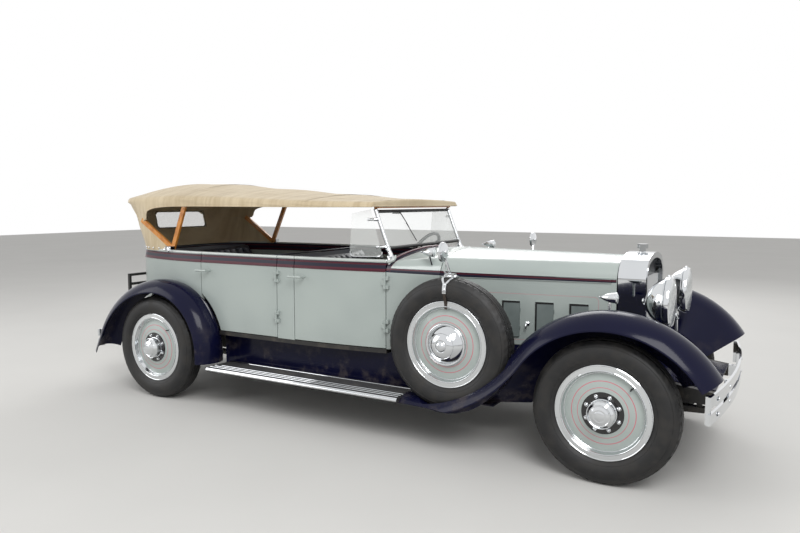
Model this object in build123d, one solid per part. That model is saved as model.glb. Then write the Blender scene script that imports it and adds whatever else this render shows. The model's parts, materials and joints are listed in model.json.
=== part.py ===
from build123d import *
import os
from math import atan2, cos, degrees, radians, sin, sqrt, tan

os.makedirs("parts", exist_ok=True)

# A 1920s seven-passenger touring car, in millimetres.
# +X points to the nose, +Y to the car's left and +Z up; Z = 0 is the ground,
# and the origin lies midway between the bumper faces, on the centreline.
# Side views are drawn as (x, z), plans as (x, y) and sections across as (y, z).

# Wheels and stance
WHEELBASE = 3569
FRONT_OVERHANG = 621
REAR_OVERHANG = 850
TYRE_RADIUS = 413
TYRE_WIDTH = 175
TREAD_WIDTH = 112
RIM_RADIUS = 260
RIM_DEPTH = 24
RIM_WIDTH = 120
FRONT_TRACK = 1480
REAR_TRACK = 1520
REAR_AXLE_X = -(WHEELBASE + FRONT_OVERHANG - REAR_OVERHANG) / 2
FRONT_AXLE_X = REAR_AXLE_X + WHEELBASE
FRONT_END_X = FRONT_AXLE_X + FRONT_OVERHANG
REAR_END_X = REAR_AXLE_X - REAR_OVERHANG

# Clearances
SEAT_GAP = 0.3
DOOR_GAP = 6
PIN_GAP = 0.4
HOOD_GAP = 6
BRAKE_GAP = 5

# Stations along the body, from the radiator back to the rear door
SHELL_BEHIND_AXLE = 49
SHELL_DEPTH = 165
HOOD_LENGTH = 1130
COWL_LENGTH = 315
FRONT_DOOR_LENGTH = 740
PILLAR_LENGTH = 153
REAR_DOOR_LENGTH = 764
BODY_REAR_OVERHANG = 520
SHELL_REAR_X = FRONT_AXLE_X - SHELL_BEHIND_AXLE
SHELL_FRONT_X = SHELL_REAR_X + SHELL_DEPTH
HOOD_REAR_X = SHELL_REAR_X - HOOD_LENGTH
COWL_REAR_X = HOOD_REAR_X - COWL_LENGTH
PILLAR_FRONT_X = COWL_REAR_X - FRONT_DOOR_LENGTH
PILLAR_REAR_X = PILLAR_FRONT_X - PILLAR_LENGTH
REAR_DOOR_REAR_X = PILLAR_REAR_X - REAR_DOOR_LENGTH
BODY_REAR_X = REAR_AXLE_X - BODY_REAR_OVERHANG

# Body heights, half widths and walls
FLOOR_Z = 585
BELT_Z = 1112
BELT_TOP_Z = 1180
BELT_LEAN = 8
BODY_HALF_WIDTH = 710
PILLAR_HALF_WIDTH = 706
COWL_HALF_WIDTH = 645
TAIL_HALF_WIDTH = 586
TAIL_CORNER_BEHIND = 330
PLAN_RUN_ON = 200
WALL = 34
SILL_DEPTH = 30
SILL_WIDTH = 130
FLOOR_THICKNESS = 14

# Doors
HINGE_STAND = 18
HINGE_RADIUS = 9
HINGE_PIN = 4.5
HINGE_HEIGHT = 42
HINGE_BARREL = 34
HINGE_LEAF = 26
HINGE_ROOT = 6
HINGE_HEIGHTS = (745, 1040)
HANDLE_IN = 95
HANDLE_Z = 1050
HANDLE_STAND = 48
HANDLE_RADIUS = 9
HANDLE_LENGTH = 105
FENDER_DOOR_ROOM = 22
BODY_ON_FENDER = 25
SILL_AHEAD = 600
TOE_START = 80
TOE_RISE = 165

# Dashboard and steering
DASH_IN = 20
DASH_ROOM = 6
DASH_THICKNESS = 22
DASH_BOTTOM_Z = 960
COLUMN_SLOPE = 32
COLUMN_LENGTH = 620
COLUMN_RADIUS = 20
STEERING_Y = 330
STEERING_BEHIND = 230
STEERING_RADIUS = 215
STEERING_RIM = 13
STEERING_HUB = 40
WHEEL_HUB_X = COWL_REAR_X - STEERING_BEHIND
WHEEL_HUB_Z = 1130

# Hood, radiator and their seats
HOOD_REAR_SHOULDER_Y = 370
HOOD_REAR_CROWN = 45
HOOD_FRONT_SHOULDER_Y = 215
HOOD_FRONT_CROWN = 32
COWL_SHOULDER_Y = 580
COWL_CROWN = 62
COWL_SKIN = 12
BEAD_HEIGHT = 26
BEAD_STEP = 7
BEAD_SHORT = 30
SHELL_FOOT_HALF = 262
SHELL_FOOT_Z = 560
SHELL_HALF_WIDTH = 300
SHELL_SIDE_Z = 1105
SHELL_STEP_Y = 236
SHELL_STEP_Z = 1208
SHELL_STEP_IN = 12
SHELL_STEP_UP = 18
SHELL_TOP_Z = 1263
SHELL_RIM = 36
CAP_RADIUS = 34
CAP_NECK = 22
CAP_HEIGHT = 50
CORE_IN = 40
CORE_DEPTH = 70
BLADE_DEPTH = 34
BLADE_COUNT = 16
BLADE_THICKNESS = 3
BLADE_REACH = 1200
BLADE_TURN = 35
HOOD_BOTTOM_Z = 660
HOOD_REAR_HALF_WIDTH = 472
HOOD_FRONT_HALF_WIDTH = 300
HOOD_REAR_TOP_Z = 1252
HOOD_FRONT_TOP_Z = 1238
HOOD_FOLD_Z = 1112
HOOD_SKIN = 7
COWL_TOP_Z = 1246
HINGE_ROD_RADIUS = 5
VENT_COUNT = 4
VENT_PITCH = 212
VENT_WIDTH = 116
VENT_HEIGHT = 230
VENT_TOP_Z = 945
VENT_STEP = 6
FIRST_VENT_FROM_REAR = 212

# Fenders: crest lines in side view and the section across
FENDER_LIP_Y = 900
FENDER_SHEET = 8
FRONT_CREST_RADIUS = 680
FRONT_CREST_CENTRE_Z = 303
FRONT_CREST_AHEAD = 21
FRONT_SWEEP_RADIUS = 844
FRONT_FOOT_Z = 345
FRONT_TIP_ANGLE = 32
BOARD_FRONT_FROM_HOOD = 95
FRONT_SECTION_CREST_Y = 750
FRONT_SECTION_CROWN = (610, 62)
FRONT_SECTION_SLOPE = (450, 245)
FRONT_SECTION_INNER = (300, 345)
REAR_SECTION_CREST_Y = 785
FENDER_LIP_DROP = 90
NOSE_TRIM_Y = 440
NOSE_TRIM_RUN = 45
REAR_INNER_DROP = 62
FOOT_PLATE_OUT = 40
FOOT_PLATE_LENGTH = 560
WELL_DEPTH = 260
APRON_BEND = 120
HANGER = 40
FENDER_TRIM_Z = 300
REAR_CREST_RADIUS = 542
REAR_CREST_AHEAD = 80
REAR_CREST_CENTRE_Z = 420
REAR_TAIL_RADIUS = 794
REAR_TAIL_ANGLE = 153.2
REAR_TAIL_LENGTH = 190
REAR_FOOT_Z = 345
WHEELHOUSE_Y = 640
WHEELHOUSE_BOTTOM_Z = 490

# Running boards and aprons
BOARD_OUTER_Y = 877
BOARD_INNER_Y = 600
BOARD_TOP_Z = 330
BOARD_THICKNESS = 28
BOARD_REAR_AHEAD = 560
APRON_SHEET = 6
BOARD_HANGERS = 3

# Chassis
RAIL_TOP_Z = 580
RAIL_DEPTH = 145
RAIL_WIDTH = 55
RAIL_REAR_Y = 530
RAIL_FRONT_Y = 400
RAIL_KICK = 115
REAR_FLOOR_Z = RAIL_TOP_Z + RAIL_KICK
HORN_Z = 470
AXLE_Z = TYRE_RADIUS
KINGPIN_Y = 640
KINGPIN_RADIUS = 16
KNUCKLE_EYE_RADIUS = 24
SPINDLE_RADIUS = 22
DRUM_RADIUS = 200
DRUM_WIDTH = 70
ARM_LENGTH = 150
TIE_ROD_Z = 330
TIE_ROD_RADIUS = 13
SPRING_WIDTH = 55
SPRING_THICKNESS = 46
SPRING_OFF = 5

RAIL_REAR_SHORT = 60
HORN_SHORT = 90
RAIL_BEND_FROM = 715
RAIL_BEND_TO = 90
RAIL_KICK_AHEAD = 265
RAIL_DROP = 20
MEMBER = 70
MID_MEMBER_AHEAD = 720
AXLE_BEAM = 50
AXLE_DROP = 40
KNUCKLE_EYE_HEIGHT = 66
YOKE_HALF = 55
ARM_WIDTH = 26
ARM_PIN_RADIUS = 9
AXLE_TUBE_RADIUS = 42
DIFFERENTIAL_RADIUS = 150
SHAFT_RADIUS = 32
SHAFT_RISE = 60
SPINDLE_PAST = 30
SPRING_PAD = 50
SPRING_FRONT_Y = 400
SPRING_REAR_Y = RAIL_REAR_Y - RAIL_WIDTH / 2 - SPRING_WIDTH / 2 - SPRING_OFF
SPRING_EYE = 30
FRONT_SPRING_HALF = 480
FRONT_SPRING_RISE = 12
REAR_SPRING_HALF = 620
REAR_SPRING_RISE = 45
ENGINE_IN = 60
ENGINE_HALF = 180
ENGINE_BOTTOM_Z = 420
ENGINE_TOP_Z = 1080
TANK_AHEAD = 300
TANK_RADIUS = 105
TANK_Z = 455
TANK_HALF = 415
TANK_STRAP_Y = 250
PIPE_AHEAD = 120
PIPE_Y = -300
PIPE_Z = 310
PIPE_RADIUS = 25
MUFFLER_RADIUS = 62

# Disc wheels: distances out from the tyre's middle
RIM_LIP = 10
RIM_SHEET = 5
DISC_EDGE_RADIUS = 222
DISC_EDGE_OUT = 38
DISC_BACK = 24
FLANGE_RADIUS = 118
FLANGE_OUT = 62
HUB_RADIUS = 76
HUB_OUT = 108
CAP_FACE = 18
CAP_FACE_RADIUS = 58
HUB_BOLTS = 8
BOLT_CIRCLE = 98
BOLT_RADIUS = 9
BOLT_HEIGHT = 12
TREAD_CROWN = 9
SPARE_COVER_RADIUS = 130

# Spare wheels in the front fenders
SPARE_GAP = 136
SPARE_X = FRONT_AXLE_X - 2 * TYRE_RADIUS - SPARE_GAP
SPARE_Y = 755
SPARE_Z = 702
WELL_SIDE_GAP = 12
WELL_SHEET = 6

# Top, bows and windshield
CANVAS = 9
TOP_SIDE_Y = 662
TOP_EDGE_Z = 1546
BOW_WIDTH = 38
BOW_PIVOT_AHEAD = 20
BOW_PIVOT_Z = 1200
BOW_Y = 622
SHIELD_FOOT_BEHIND = 5
SHIELD_TOP_BEHIND = 136
SHIELD_TOP_Z = 1528
SHIELD_FOOT_Y = 560
POST_RADIUS = 13
GLASS = 6

SHIELD_FOOT_Z = 1190
RAIL_SHARE = 0.22
TOP_RAIL_SHARE = 0.96
POST_FOOT_SHARE = -0.12
RAIL_RADIUS = 10
WING_Y = 600
WING_CLAMPS = (0.25, 0.8)
CLAMP_REACH = 70
CLAMP_RADIUS = 8
BOW_TOP_Y = 630
BOW_THICKNESS = 20
FRONT_BOW_TOP = (179, 1560)
REAR_BOW_TOP = (-330, 1430)
HOOP_STATIONS = (-358, 179, 820, 1400, 1945)
HEADER_Z = 1536
WINDOW_HALF = 290
WINDOW_LOW_Z = 1345
WINDOW_HIGH_Z = 1490
CURTAIN_FRONT = 150
PIVOT_Y = 676
PIVOT_PLATE = 60
# Wing pane corners: (behind the cowl's rear edge, height)
WING_OUTLINE = ((52, 1205), (325, 1195), (300, 1500), (150, 1530))
# Roof sections: ahead of the rear axle, half width, edge height, side height, crown height
ROOF_SECTIONS = (
    (1970, 655, 1550, 32, 1596),
    (1350, 662, 1546, 45, 1641),
    (416, 662, 1546, 75, 1712),
    (-180, 660, 1500, 115, 1745),
    (-400, 640, 1566, 40, 1725),
    (-560, 585, 1578, 34, 1676),
    (-645, 480, 1580, 32, 1636),
)
# Rear curtain plans: height, half width, start of the side's curve, then the corner
# and the back's end as points ahead of the rear axle and out from the middle
CURTAIN_SECTIONS = (
    (BELT_TOP_Z + SEAT_GAP, 640, -200, (-384, 550), (-490, 250)),
    (1471, 645, -280, (-500, 555), (-575, 300)),
    (1606, 642, -400, (-585, 575), (-652, 470)),
)

# Seats
FRONT_SEAT_BACK_BEHIND = 60
FRONT_SEAT_LENGTH = 600
FRONT_SEAT_HALF = 600
SEAT_RAKE = 130
SEAT_BACK_TOP_Z = 1195
BACK_THICK = 110
CUSHION_Z = 890
CUSHION_TILT = 15
REAR_SEAT_BACK_BEHIND = 420
REAR_SEAT_SIDE = 45

# Lamps and bumpers
LAMP_BAR_Z = 822
BAR_RADIUS = 10
LAMP_RIM = 18
LENS = 8
SMALL_LAMP = 30
LAMP_STALK = 9
FENDER_LAMP_AHEAD = -20
FENDER_LAMP_Y = 620
FENDER_LAMP_Z = 1035
COWL_LAMP_BEHIND = 60
COWL_LAMP_Y = 520
COWL_LAMP_Z = 1245
TAIL_LAMP_AHEAD = 60
TAIL_LAMP_OUT = 60
TAIL_LAMP_LENGTH = 80
TAIL_LAMP_RADIUS = 45
FRONT_BARS = (440, 530)
REAR_BARS = (330, 415)
CLAMP_IN = 30
CLAMP_WIDTH = 34
CLAMP_DEPTH = 24
RACK_BEHIND = 120
RACK_TOP_Z = 950
RACK_BAR = 22
RACK_SLATS = 5
RACK_PITCH = 80
RACK_ARM_Y = 300
MIRROR_BACK = 18
MIRROR_OUT = 65
MIRROR_RISE = 160
MIRROR_RADIUS = 60
HEADLAMP_AHEAD = 267
HEADLAMP_Y = 342
HEADLAMP_Z = 991
HEADLAMP_RADIUS = 148
HEADLAMP_DEPTH = 150
BUMPER_HALF_WIDTH = 850
BUMPER_BAR = 60
BUMPER_THICKNESS = 14
FRONT_BUMPER_BOW = 70
REAR_BUMPER_BOW = 42
REAR_BUMPER_HALF_WIDTH = 750


def save(name, *solids):
    """Write one node from solids that touch nowhere or are already fused."""
    export_step(Compound(children=list(solids)) if len(solids) > 1 else solids[0],
                f"parts/{name}.step")


def block(x0, x1, y0, y1, z0, z1):
    """A straight block between its lowest and highest corners."""
    centre = Pos((x0 + x1) / 2, (y0 + y1) / 2, (z0 + z1) / 2)
    return centre * Box(abs(x1 - x0), abs(y1 - y0), abs(z1 - z0))


def rod(start, end, radius):
    """A round bar between two points."""
    along = Vector(end) - Vector(start)
    plane = Plane(origin=start, z_dir=along)
    return plane * Pos(0, 0, along.length / 2) * Cylinder(radius, along.length)


def across(radius, x, z, y0, y1):
    """A round bar that lies across the car."""
    return rod((x, y0, z), (x, y1, z), radius)


def side_plate(outline, y0, y1):
    """A plate drawn in side view, as thick as the distance across."""
    sheet = Plane(origin=(0, y0, 0), x_dir=(1, 0, 0), z_dir=(0, -1, 0))
    return extrude(sheet * make_face(outline), amount=y1 - y0, dir=(0, 1, 0))


def plan_plate(outline, z0, z1):
    """A plate drawn in plan, between two heights."""
    return extrude(Pos(0, 0, z0) * make_face(outline), amount=z1 - z0, dir=(0, 0, 1))


def end_plate(outline, x0, x1):
    """A plate drawn as a section across the car, between two stations."""
    sheet = Plane(origin=(x0, 0, 0), x_dir=(0, 1, 0), z_dir=(1, 0, 0))
    return extrude(sheet * make_face(outline), amount=x1 - x0, dir=(1, 0, 0))


def polygon(*points):
    return Polyline(*points, close=True)


def other_side(solid):
    """The same piece on the other side of the car."""
    return solid.mirror(Plane.XZ)


def pair(solid):
    return [solid, other_side(solid)]


def path_section(outline, x, z, tangent):
    """A section face that stands square to a path in side view."""
    sheet = Plane(origin=(x, 0, z), x_dir=(0, 1, 0), z_dir=(tangent[0], 0, tangent[1]))
    return sheet * make_face(outline)


def swept_arc(outline, centre_x, centre_z, radius, start, end):
    """Sweep a section round an arc in side view, from one angle to the next."""
    a = radians(start)
    way = 1 if end < start else -1
    tangent = (way * sin(a), -way * cos(a))
    face = path_section(outline, centre_x + radius * cos(a), centre_z + radius * sin(a), tangent)
    axis = Axis((centre_x, 0, centre_z), (0, way, 0))
    return revolve(face, axis=axis, revolution_arc=abs(end - start))


def swept_line(outline, x, z, angle, length):
    """Sweep a section along a straight run in side view."""
    a = radians(angle)
    face = path_section(outline, x, z, (cos(a), sin(a)))
    return extrude(face, amount=length, dir=(cos(a), 0, sin(a)))


# Body shell

def body_plan():
    """Plan of the body sides and tail, run on past the front doors into the cowl."""
    corner_x = REAR_AXLE_X - TAIL_CORNER_BEHIND
    tail_run = REAR_DOOR_REAR_X - corner_x
    tail_turn = 2 * atan2(BODY_HALF_WIDTH - TAIL_HALF_WIDTH, tail_run)
    corner_run = corner_x - BODY_REAR_X
    back_y = TAIL_HALF_WIDTH - corner_run * tan((radians(90) + tail_turn) / 2)
    pillar = (PILLAR_FRONT_X, -PILLAR_HALF_WIDTH)
    front_arc = TangentArc(pillar, (COWL_REAR_X, -COWL_HALF_WIDTH), tangent=(1, 0))
    nose = Line(front_arc @ 1, front_arc @ 1 + (front_arc % 1) * PLAN_RUN_ON)
    door_line = Line((REAR_DOOR_REAR_X, -BODY_HALF_WIDTH), pillar)
    tail_arc = TangentArc(door_line @ 0, (corner_x, -TAIL_HALF_WIDTH), tangent=(-1, 0))
    corner_arc = TangentArc(tail_arc @ 1, (BODY_REAR_X, -back_y), tangent=tail_arc % 1)
    side = [nose, front_arc, door_line, tail_arc, corner_arc]
    flipped = [edge.mirror(Plane.XZ) for edge in side]
    back = Line((BODY_REAR_X, -back_y), (BODY_REAR_X, back_y))
    front = Line(nose @ 1, ((nose @ 1).X, -(nose @ 1).Y))
    return make_face(side + flipped + [back, front])


def raised(face, z0, z1, taper=0):
    """A plan face carried up from one height to another."""
    return extrude(Pos(0, 0, z0) * face, amount=z1 - z0, taper=taper)


def body_shell():
    """The tub's walls all round: sides, tail and the leaning belt band above them."""
    plan = body_plan()
    inner = offset(plan, amount=-WALL)
    outside = raised(plan, FLOOR_Z, BELT_Z) + raised(plan, BELT_Z, BELT_TOP_Z, BELT_LEAN)
    shell = outside - raised(inner, FLOOR_Z, BELT_Z)
    shell -= raised(inner, BELT_Z, BELT_TOP_Z, BELT_LEAN)
    return shell & block(BODY_REAR_X, COWL_REAR_X, -BOARD_OUTER_Y, BOARD_OUTER_Y, 0, TOP_EDGE_Z)


def stretch(x0, x1, side, z0=FLOOR_Z, z1=TOP_EDGE_Z):
    """The room between two stations on one side of the car: -1 right, 1 left."""
    return block(x0, x1, *sorted((0, side * BOARD_OUTER_Y)), z0, z1)


def fender_drum(extra):
    """The round that the rear fender fills, with some room around it."""
    x, y = REAR_AXLE_X + REAR_CREST_AHEAD, BOARD_OUTER_Y
    return across(REAR_CREST_RADIUS + extra, x, REAR_CREST_CENTRE_Z, -y, y)


def hinge_lug(x, y_face, z, side):
    """A fixed door hinge: two lugs on the pillar's skin and the pin between them."""
    axis_x, axis_y = x - DOOR_GAP / 2, side * (y_face + HINGE_STAND)
    reach = HINGE_STAND + HINGE_RADIUS
    solid = rod((axis_x, axis_y, z - HINGE_HEIGHT), (axis_x, axis_y, z + HINGE_HEIGHT), HINGE_PIN)
    for way in (-1, 1):
        low, high = sorted((z + way * HINGE_BARREL / 2 + way * PIN_GAP, z + way * HINGE_HEIGHT))
        solid += rod((axis_x, axis_y, low), (axis_x, axis_y, high), HINGE_RADIUS)
        y0, y1 = sorted((side * (y_face - HINGE_ROOT), side * (y_face + HINGE_STAND)))
        solid += block(axis_x, axis_x + HINGE_LEAF, y0, y1, low, high)
    return solid


def hinge_barrel(x, y_face, z, side):
    """The door's half of a hinge: a barrel round the pin and its leaf."""
    axis_x, axis_y = x - DOOR_GAP / 2, side * (y_face + HINGE_STAND)
    half = HINGE_BARREL / 2
    solid = rod((axis_x, axis_y, z - half), (axis_x, axis_y, z + half), HINGE_RADIUS)
    y0, y1 = sorted((side * (y_face - HINGE_ROOT), side * (y_face + HINGE_STAND)))
    solid += block(axis_x - HINGE_LEAF, axis_x, y0, y1, z - half, z + half)
    return solid - rod((axis_x, axis_y, z - half), (axis_x, axis_y, z + half),
                       HINGE_PIN + PIN_GAP)


def door(shell, x_front, x_rear, y_face, side):
    """One door cut from the body wall, with its hinge barrels and pull handle."""
    solid = shell & stretch(x_rear + DOOR_GAP, x_front - DOOR_GAP, side,
                            FLOOR_Z + DOOR_GAP)
    solid -= fender_drum(FENDER_DOOR_ROOM)
    for z in HINGE_HEIGHTS:
        solid += hinge_barrel(x_front, y_face, z, side)
    handle_x = x_rear + HANDLE_IN
    y_out = side * (BODY_HALF_WIDTH + HANDLE_STAND)
    y_in = side * (BODY_HALF_WIDTH - WALL / 2)
    solid += rod((handle_x, y_in, HANDLE_Z), (handle_x, y_out, HANDLE_Z), HANDLE_RADIUS)
    solid += rod((handle_x + HANDLE_RADIUS, y_out, HANDLE_Z),
                 (handle_x - HANDLE_LENGTH, y_out, HANDLE_Z), HANDLE_RADIUS)
    return solid


def body():
    """Tail, pillar panels, sills, floor and the four doors."""
    shell = body_shell()
    tail = shell & block(BODY_REAR_X, REAR_DOOR_REAR_X, -BOARD_OUTER_Y, BOARD_OUTER_Y,
                         0, TOP_EDGE_Z)
    tail -= fender_drum(SEAT_GAP - BODY_ON_FENDER)
    for room in pair(rear_sweep(rear_section(WELL_DEPTH))):
        tail -= room
    save("tub_rear", clear_of_rails(tail))

    pillars = []
    for side in (-1, 1):
        panel = shell & stretch(PILLAR_REAR_X, PILLAR_FRONT_X, side)
        for z in HINGE_HEIGHTS:
            panel += hinge_lug(PILLAR_REAR_X, PILLAR_HALF_WIDTH, z, side)
        pillars.append(panel)
    save("pillar_panels", *pillars)

    for place, x_front, x_rear, half_width in (
        ("front", COWL_REAR_X, PILLAR_FRONT_X, COWL_HALF_WIDTH),
        ("rear", PILLAR_REAR_X, REAR_DOOR_REAR_X, PILLAR_HALF_WIDTH),
    ):
        left = door(shell, x_front, x_rear, half_width, 1)
        save(f"door_{place}_left", left)
        save(f"door_{place}_right", other_side(left))

    save("sills", *sills())


def sills():
    """The two rails under the doors that the body stands on."""
    plan = body_plan()
    ring = plan - offset(plan, amount=-SILL_WIDTH)
    sill = raised(ring, FLOOR_Z - SILL_DEPTH, FLOOR_Z)
    rear_x = REAR_AXLE_X + SILL_AHEAD
    return [sill & stretch(rear_x, COWL_REAR_X, side, 0) for side in (-1, 1)]


def floor():
    """Low floor on the rails, toe board, and the raised floor over the rear axle."""
    half = RAIL_REAR_Y + RAIL_WIDTH / 2
    step_x = REAR_DOOR_REAR_X - FLOOR_THICKNESS
    low, high, thick = RAIL_TOP_Z, REAR_FLOOR_Z, FLOOR_THICKNESS
    rear_x, toe_x = BODY_REAR_X + WALL + SEAT_GAP, COWL_REAR_X + TOE_START
    outline = polygon(
        (toe_x, low), (step_x, low), (step_x, high), (rear_x, high), (rear_x, high + thick),
        (step_x + thick, high + thick), (step_x + thick, low + thick), (toe_x, low + thick))
    pan = side_plate(outline, -half, half)
    pan &= raised(offset(body_plan(), amount=-WALL - SEAT_GAP), 0, TOP_EDGE_Z)
    for sill in sills():
        pan -= sill
    wall_x = HOOD_REAR_X - thick
    toe = polygon((toe_x, low), (wall_x, low + TOE_RISE), (wall_x, low + TOE_RISE + thick),
                  (toe_x, low + thick))
    toe_half = HOOD_REAR_HALF_WIDTH - WALL - SEAT_GAP
    save("floor_pan", pan + side_plate(toe, -toe_half, toe_half))


# Cowl, hood and radiator

def nose_section(half_width, shoulder_y, crown, top_z, bottom_z):
    """Section across the cowl or hood: upright sides, round shoulders and a crowned top."""
    shoulder_z = top_z - crown
    slope = 2 * atan2(crown, shoulder_y)
    side_z = shoulder_z - (half_width - shoulder_y) * tan((radians(90) + slope) / 2)
    side = Line((-half_width, bottom_z), (-half_width, side_z))
    shoulder = TangentArc(side @ 1, (-shoulder_y, shoulder_z), tangent=(0, 1))
    top = ThreePointArc(shoulder @ 1, (0, top_z), (shoulder_y, shoulder_z))
    flipped = [edge.mirror(Plane.YZ) for edge in (side, shoulder)]
    base = Line((-half_width, bottom_z), (half_width, bottom_z))
    return make_face([side, shoulder, top] + flipped + [base])


def at_station(section, x):
    return Plane(origin=(x, 0, 0), x_dir=(0, 1, 0), z_dir=(1, 0, 0)) * section


def hood_section(share, skin, bottom_z=HOOD_BOTTOM_Z):
    """Hood section at a share of the way from the cowl to the radiator."""
    def between(rear, front):
        return rear + (front - rear) * share
    return nose_section(between(HOOD_REAR_HALF_WIDTH, HOOD_FRONT_HALF_WIDTH) - skin,
                        between(HOOD_REAR_SHOULDER_Y, HOOD_FRONT_SHOULDER_Y),
                        between(HOOD_REAR_CROWN, HOOD_FRONT_CROWN),
                        between(HOOD_REAR_TOP_Z, HOOD_FRONT_TOP_Z) - skin, bottom_z)


def cowl_section(wall, skin, bottom_z):
    return nose_section(COWL_HALF_WIDTH - wall, COWL_SHOULDER_Y, COWL_CROWN,
                        COWL_TOP_Z - skin, bottom_z)


def cowl():
    """The cowl from the hood to the front doors, with its firewall and door hinges."""
    outer = loft([at_station(cowl_section(0, 0, FLOOR_Z), COWL_REAR_X),
                  at_station(hood_section(0, 0, FLOOR_Z), HOOD_REAR_X)], ruled=True)
    inner = loft([at_station(cowl_section(WALL, COWL_SKIN, FLOOR_Z), COWL_REAR_X),
                  at_station(hood_section(0, COWL_SKIN, FLOOR_Z), HOOD_REAR_X)], ruled=True)
    firewall = outer & block(HOOD_REAR_X - FLOOR_THICKNESS, HOOD_REAR_X,
                             -BOARD_OUTER_Y, BOARD_OUTER_Y, 0, TOP_EDGE_Z)
    solid = outer - inner + firewall
    for side in (-1, 1):
        for z in HINGE_HEIGHTS:
            solid += hinge_lug(COWL_REAR_X, COWL_HALF_WIDTH, z, side)
    save("cowl", solid)

    dash_x = COWL_REAR_X + DASH_IN
    share = DASH_IN / COWL_LENGTH
    half = COWL_HALF_WIDTH - WALL - (COWL_HALF_WIDTH - HOOD_REAR_HALF_WIDTH) * share
    panel = nose_section(half - DASH_ROOM, COWL_SHOULDER_Y - DASH_ROOM * 2, COWL_CROWN,
                         COWL_TOP_Z - COWL_SKIN - SEAT_GAP, DASH_BOTTOM_Z)
    dash = extrude(at_station(panel, dash_x), amount=DASH_THICKNESS, dir=(1, 0, 0))
    dash += rod(column_point(0), column_point(COLUMN_LENGTH), COLUMN_RADIUS)
    save("dashboard", dash - solid)


def column_point(distance):
    """A point along the steering column, down from the wheel's hub."""
    a = radians(COLUMN_SLOPE)
    return (WHEEL_HUB_X + distance * cos(a), STEERING_Y, WHEEL_HUB_Z - distance * sin(a))


def steering_wheel():
    """Rim, four spokes and hub, square to the column."""
    a = radians(COLUMN_SLOPE)
    sheet = Plane(origin=column_point(-SEAT_GAP), x_dir=(0, 1, 0), z_dir=(-cos(a), 0, sin(a)))
    solid = Pos(0, 0, STEERING_HUB / 2) * Cylinder(COLUMN_RADIUS + 8, STEERING_HUB)
    solid += Pos(0, 0, STEERING_HUB * 0.75) * Torus(STEERING_RADIUS, STEERING_RIM)
    for turn in range(0, 360, 90):
        spoke = Pos(STEERING_RADIUS / 2, 0, STEERING_HUB * 0.75) * Box(STEERING_RADIUS, 16, 8)
        solid += Rot(0, 0, turn + 45) * spoke
    save("steering_wheel", sheet * solid)


def hood_edge_y(x):
    """How far out the hood's side stands at a station."""
    share = (x - HOOD_REAR_X) / HOOD_LENGTH
    return HOOD_REAR_HALF_WIDTH + (HOOD_FRONT_HALF_WIDTH - HOOD_REAR_HALF_WIDTH) * share


def hood_strip(x0, x1, z0, z1, proud):
    """A strip that lies on the hood's right side between two stations."""
    root = HOOD_SKIN / 2
    outline = polygon((x0, -hood_edge_y(x0) + root), (x1, -hood_edge_y(x1) + root),
                      (x1, -hood_edge_y(x1) - proud), (x0, -hood_edge_y(x0) - proud))
    return plan_plate(outline, z0, z1)


def hood_rod_ends():
    """The hood's centre hinge rod, flush with the skin from the cowl to the radiator."""
    sink = HOOD_SKIN / 2
    return ((HOOD_REAR_X, 0, HOOD_REAR_TOP_Z - sink), (SHELL_REAR_X, 0, HOOD_FRONT_TOP_Z - sink))


def hood_fold_ends():
    """The hinge between a top panel and its side panel, on the right."""
    sink = HOOD_SKIN / 2
    x0, x1 = HOOD_REAR_X + HOOD_GAP, SHELL_REAR_X - HOOD_GAP
    return ((x0, -hood_edge_y(x0) + sink, HOOD_FOLD_Z), (x1, -hood_edge_y(x1) + sink, HOOD_FOLD_Z))


def hood():
    """Hood of two top panels on a centre rod and two hinged sides with vent doors."""
    def full(skin):
        share = HOOD_GAP / HOOD_LENGTH
        return loft([at_station(hood_section(share, skin), HOOD_REAR_X + HOOD_GAP),
                     at_station(hood_section(1 - share, skin), SHELL_REAR_X - HOOD_GAP)],
                    ruled=True)
    shell = full(0) - full(HOOD_SKIN)
    x0, x1 = HOOD_REAR_X + HOOD_GAP, SHELL_REAR_X - HOOD_GAP
    pin = HOOD_SKIN / 2
    edge = HINGE_ROD_RADIUS + SEAT_GAP
    top = shell & block(x0, x1, -BOARD_OUTER_Y, -edge, HOOD_FOLD_Z, TOP_EDGE_Z)
    top += rod(*hood_fold_ends(), pin)
    side = shell & block(x0, x1, -BOARD_OUTER_Y, -edge, 0, HOOD_FOLD_Z - pin - SEAT_GAP)
    for number in range(VENT_COUNT):
        start = HOOD_REAR_X + FIRST_VENT_FROM_REAR + number * VENT_PITCH
        side += hood_strip(start, start + VENT_WIDTH, VENT_TOP_Z - VENT_HEIGHT, VENT_TOP_Z,
                           VENT_STEP)
    bead_top = HOOD_FOLD_Z - pin - SEAT_GAP
    side += hood_strip(x0, x1 - BEAD_SHORT, bead_top - BEAD_HEIGHT, bead_top, BEAD_STEP)
    save("hood_top_right", top)
    save("hood_top_left", other_side(top))
    save("hood_side_right", side)
    save("hood_side_left", other_side(side))
    reach = block(HOOD_REAR_X, SHELL_REAR_X, -HOOD_GAP, HOOD_GAP, 0, TOP_EDGE_Z)
    save("hood_rod", rod(*hood_rod_ends(), HINGE_ROD_RADIUS) & reach)


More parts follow.
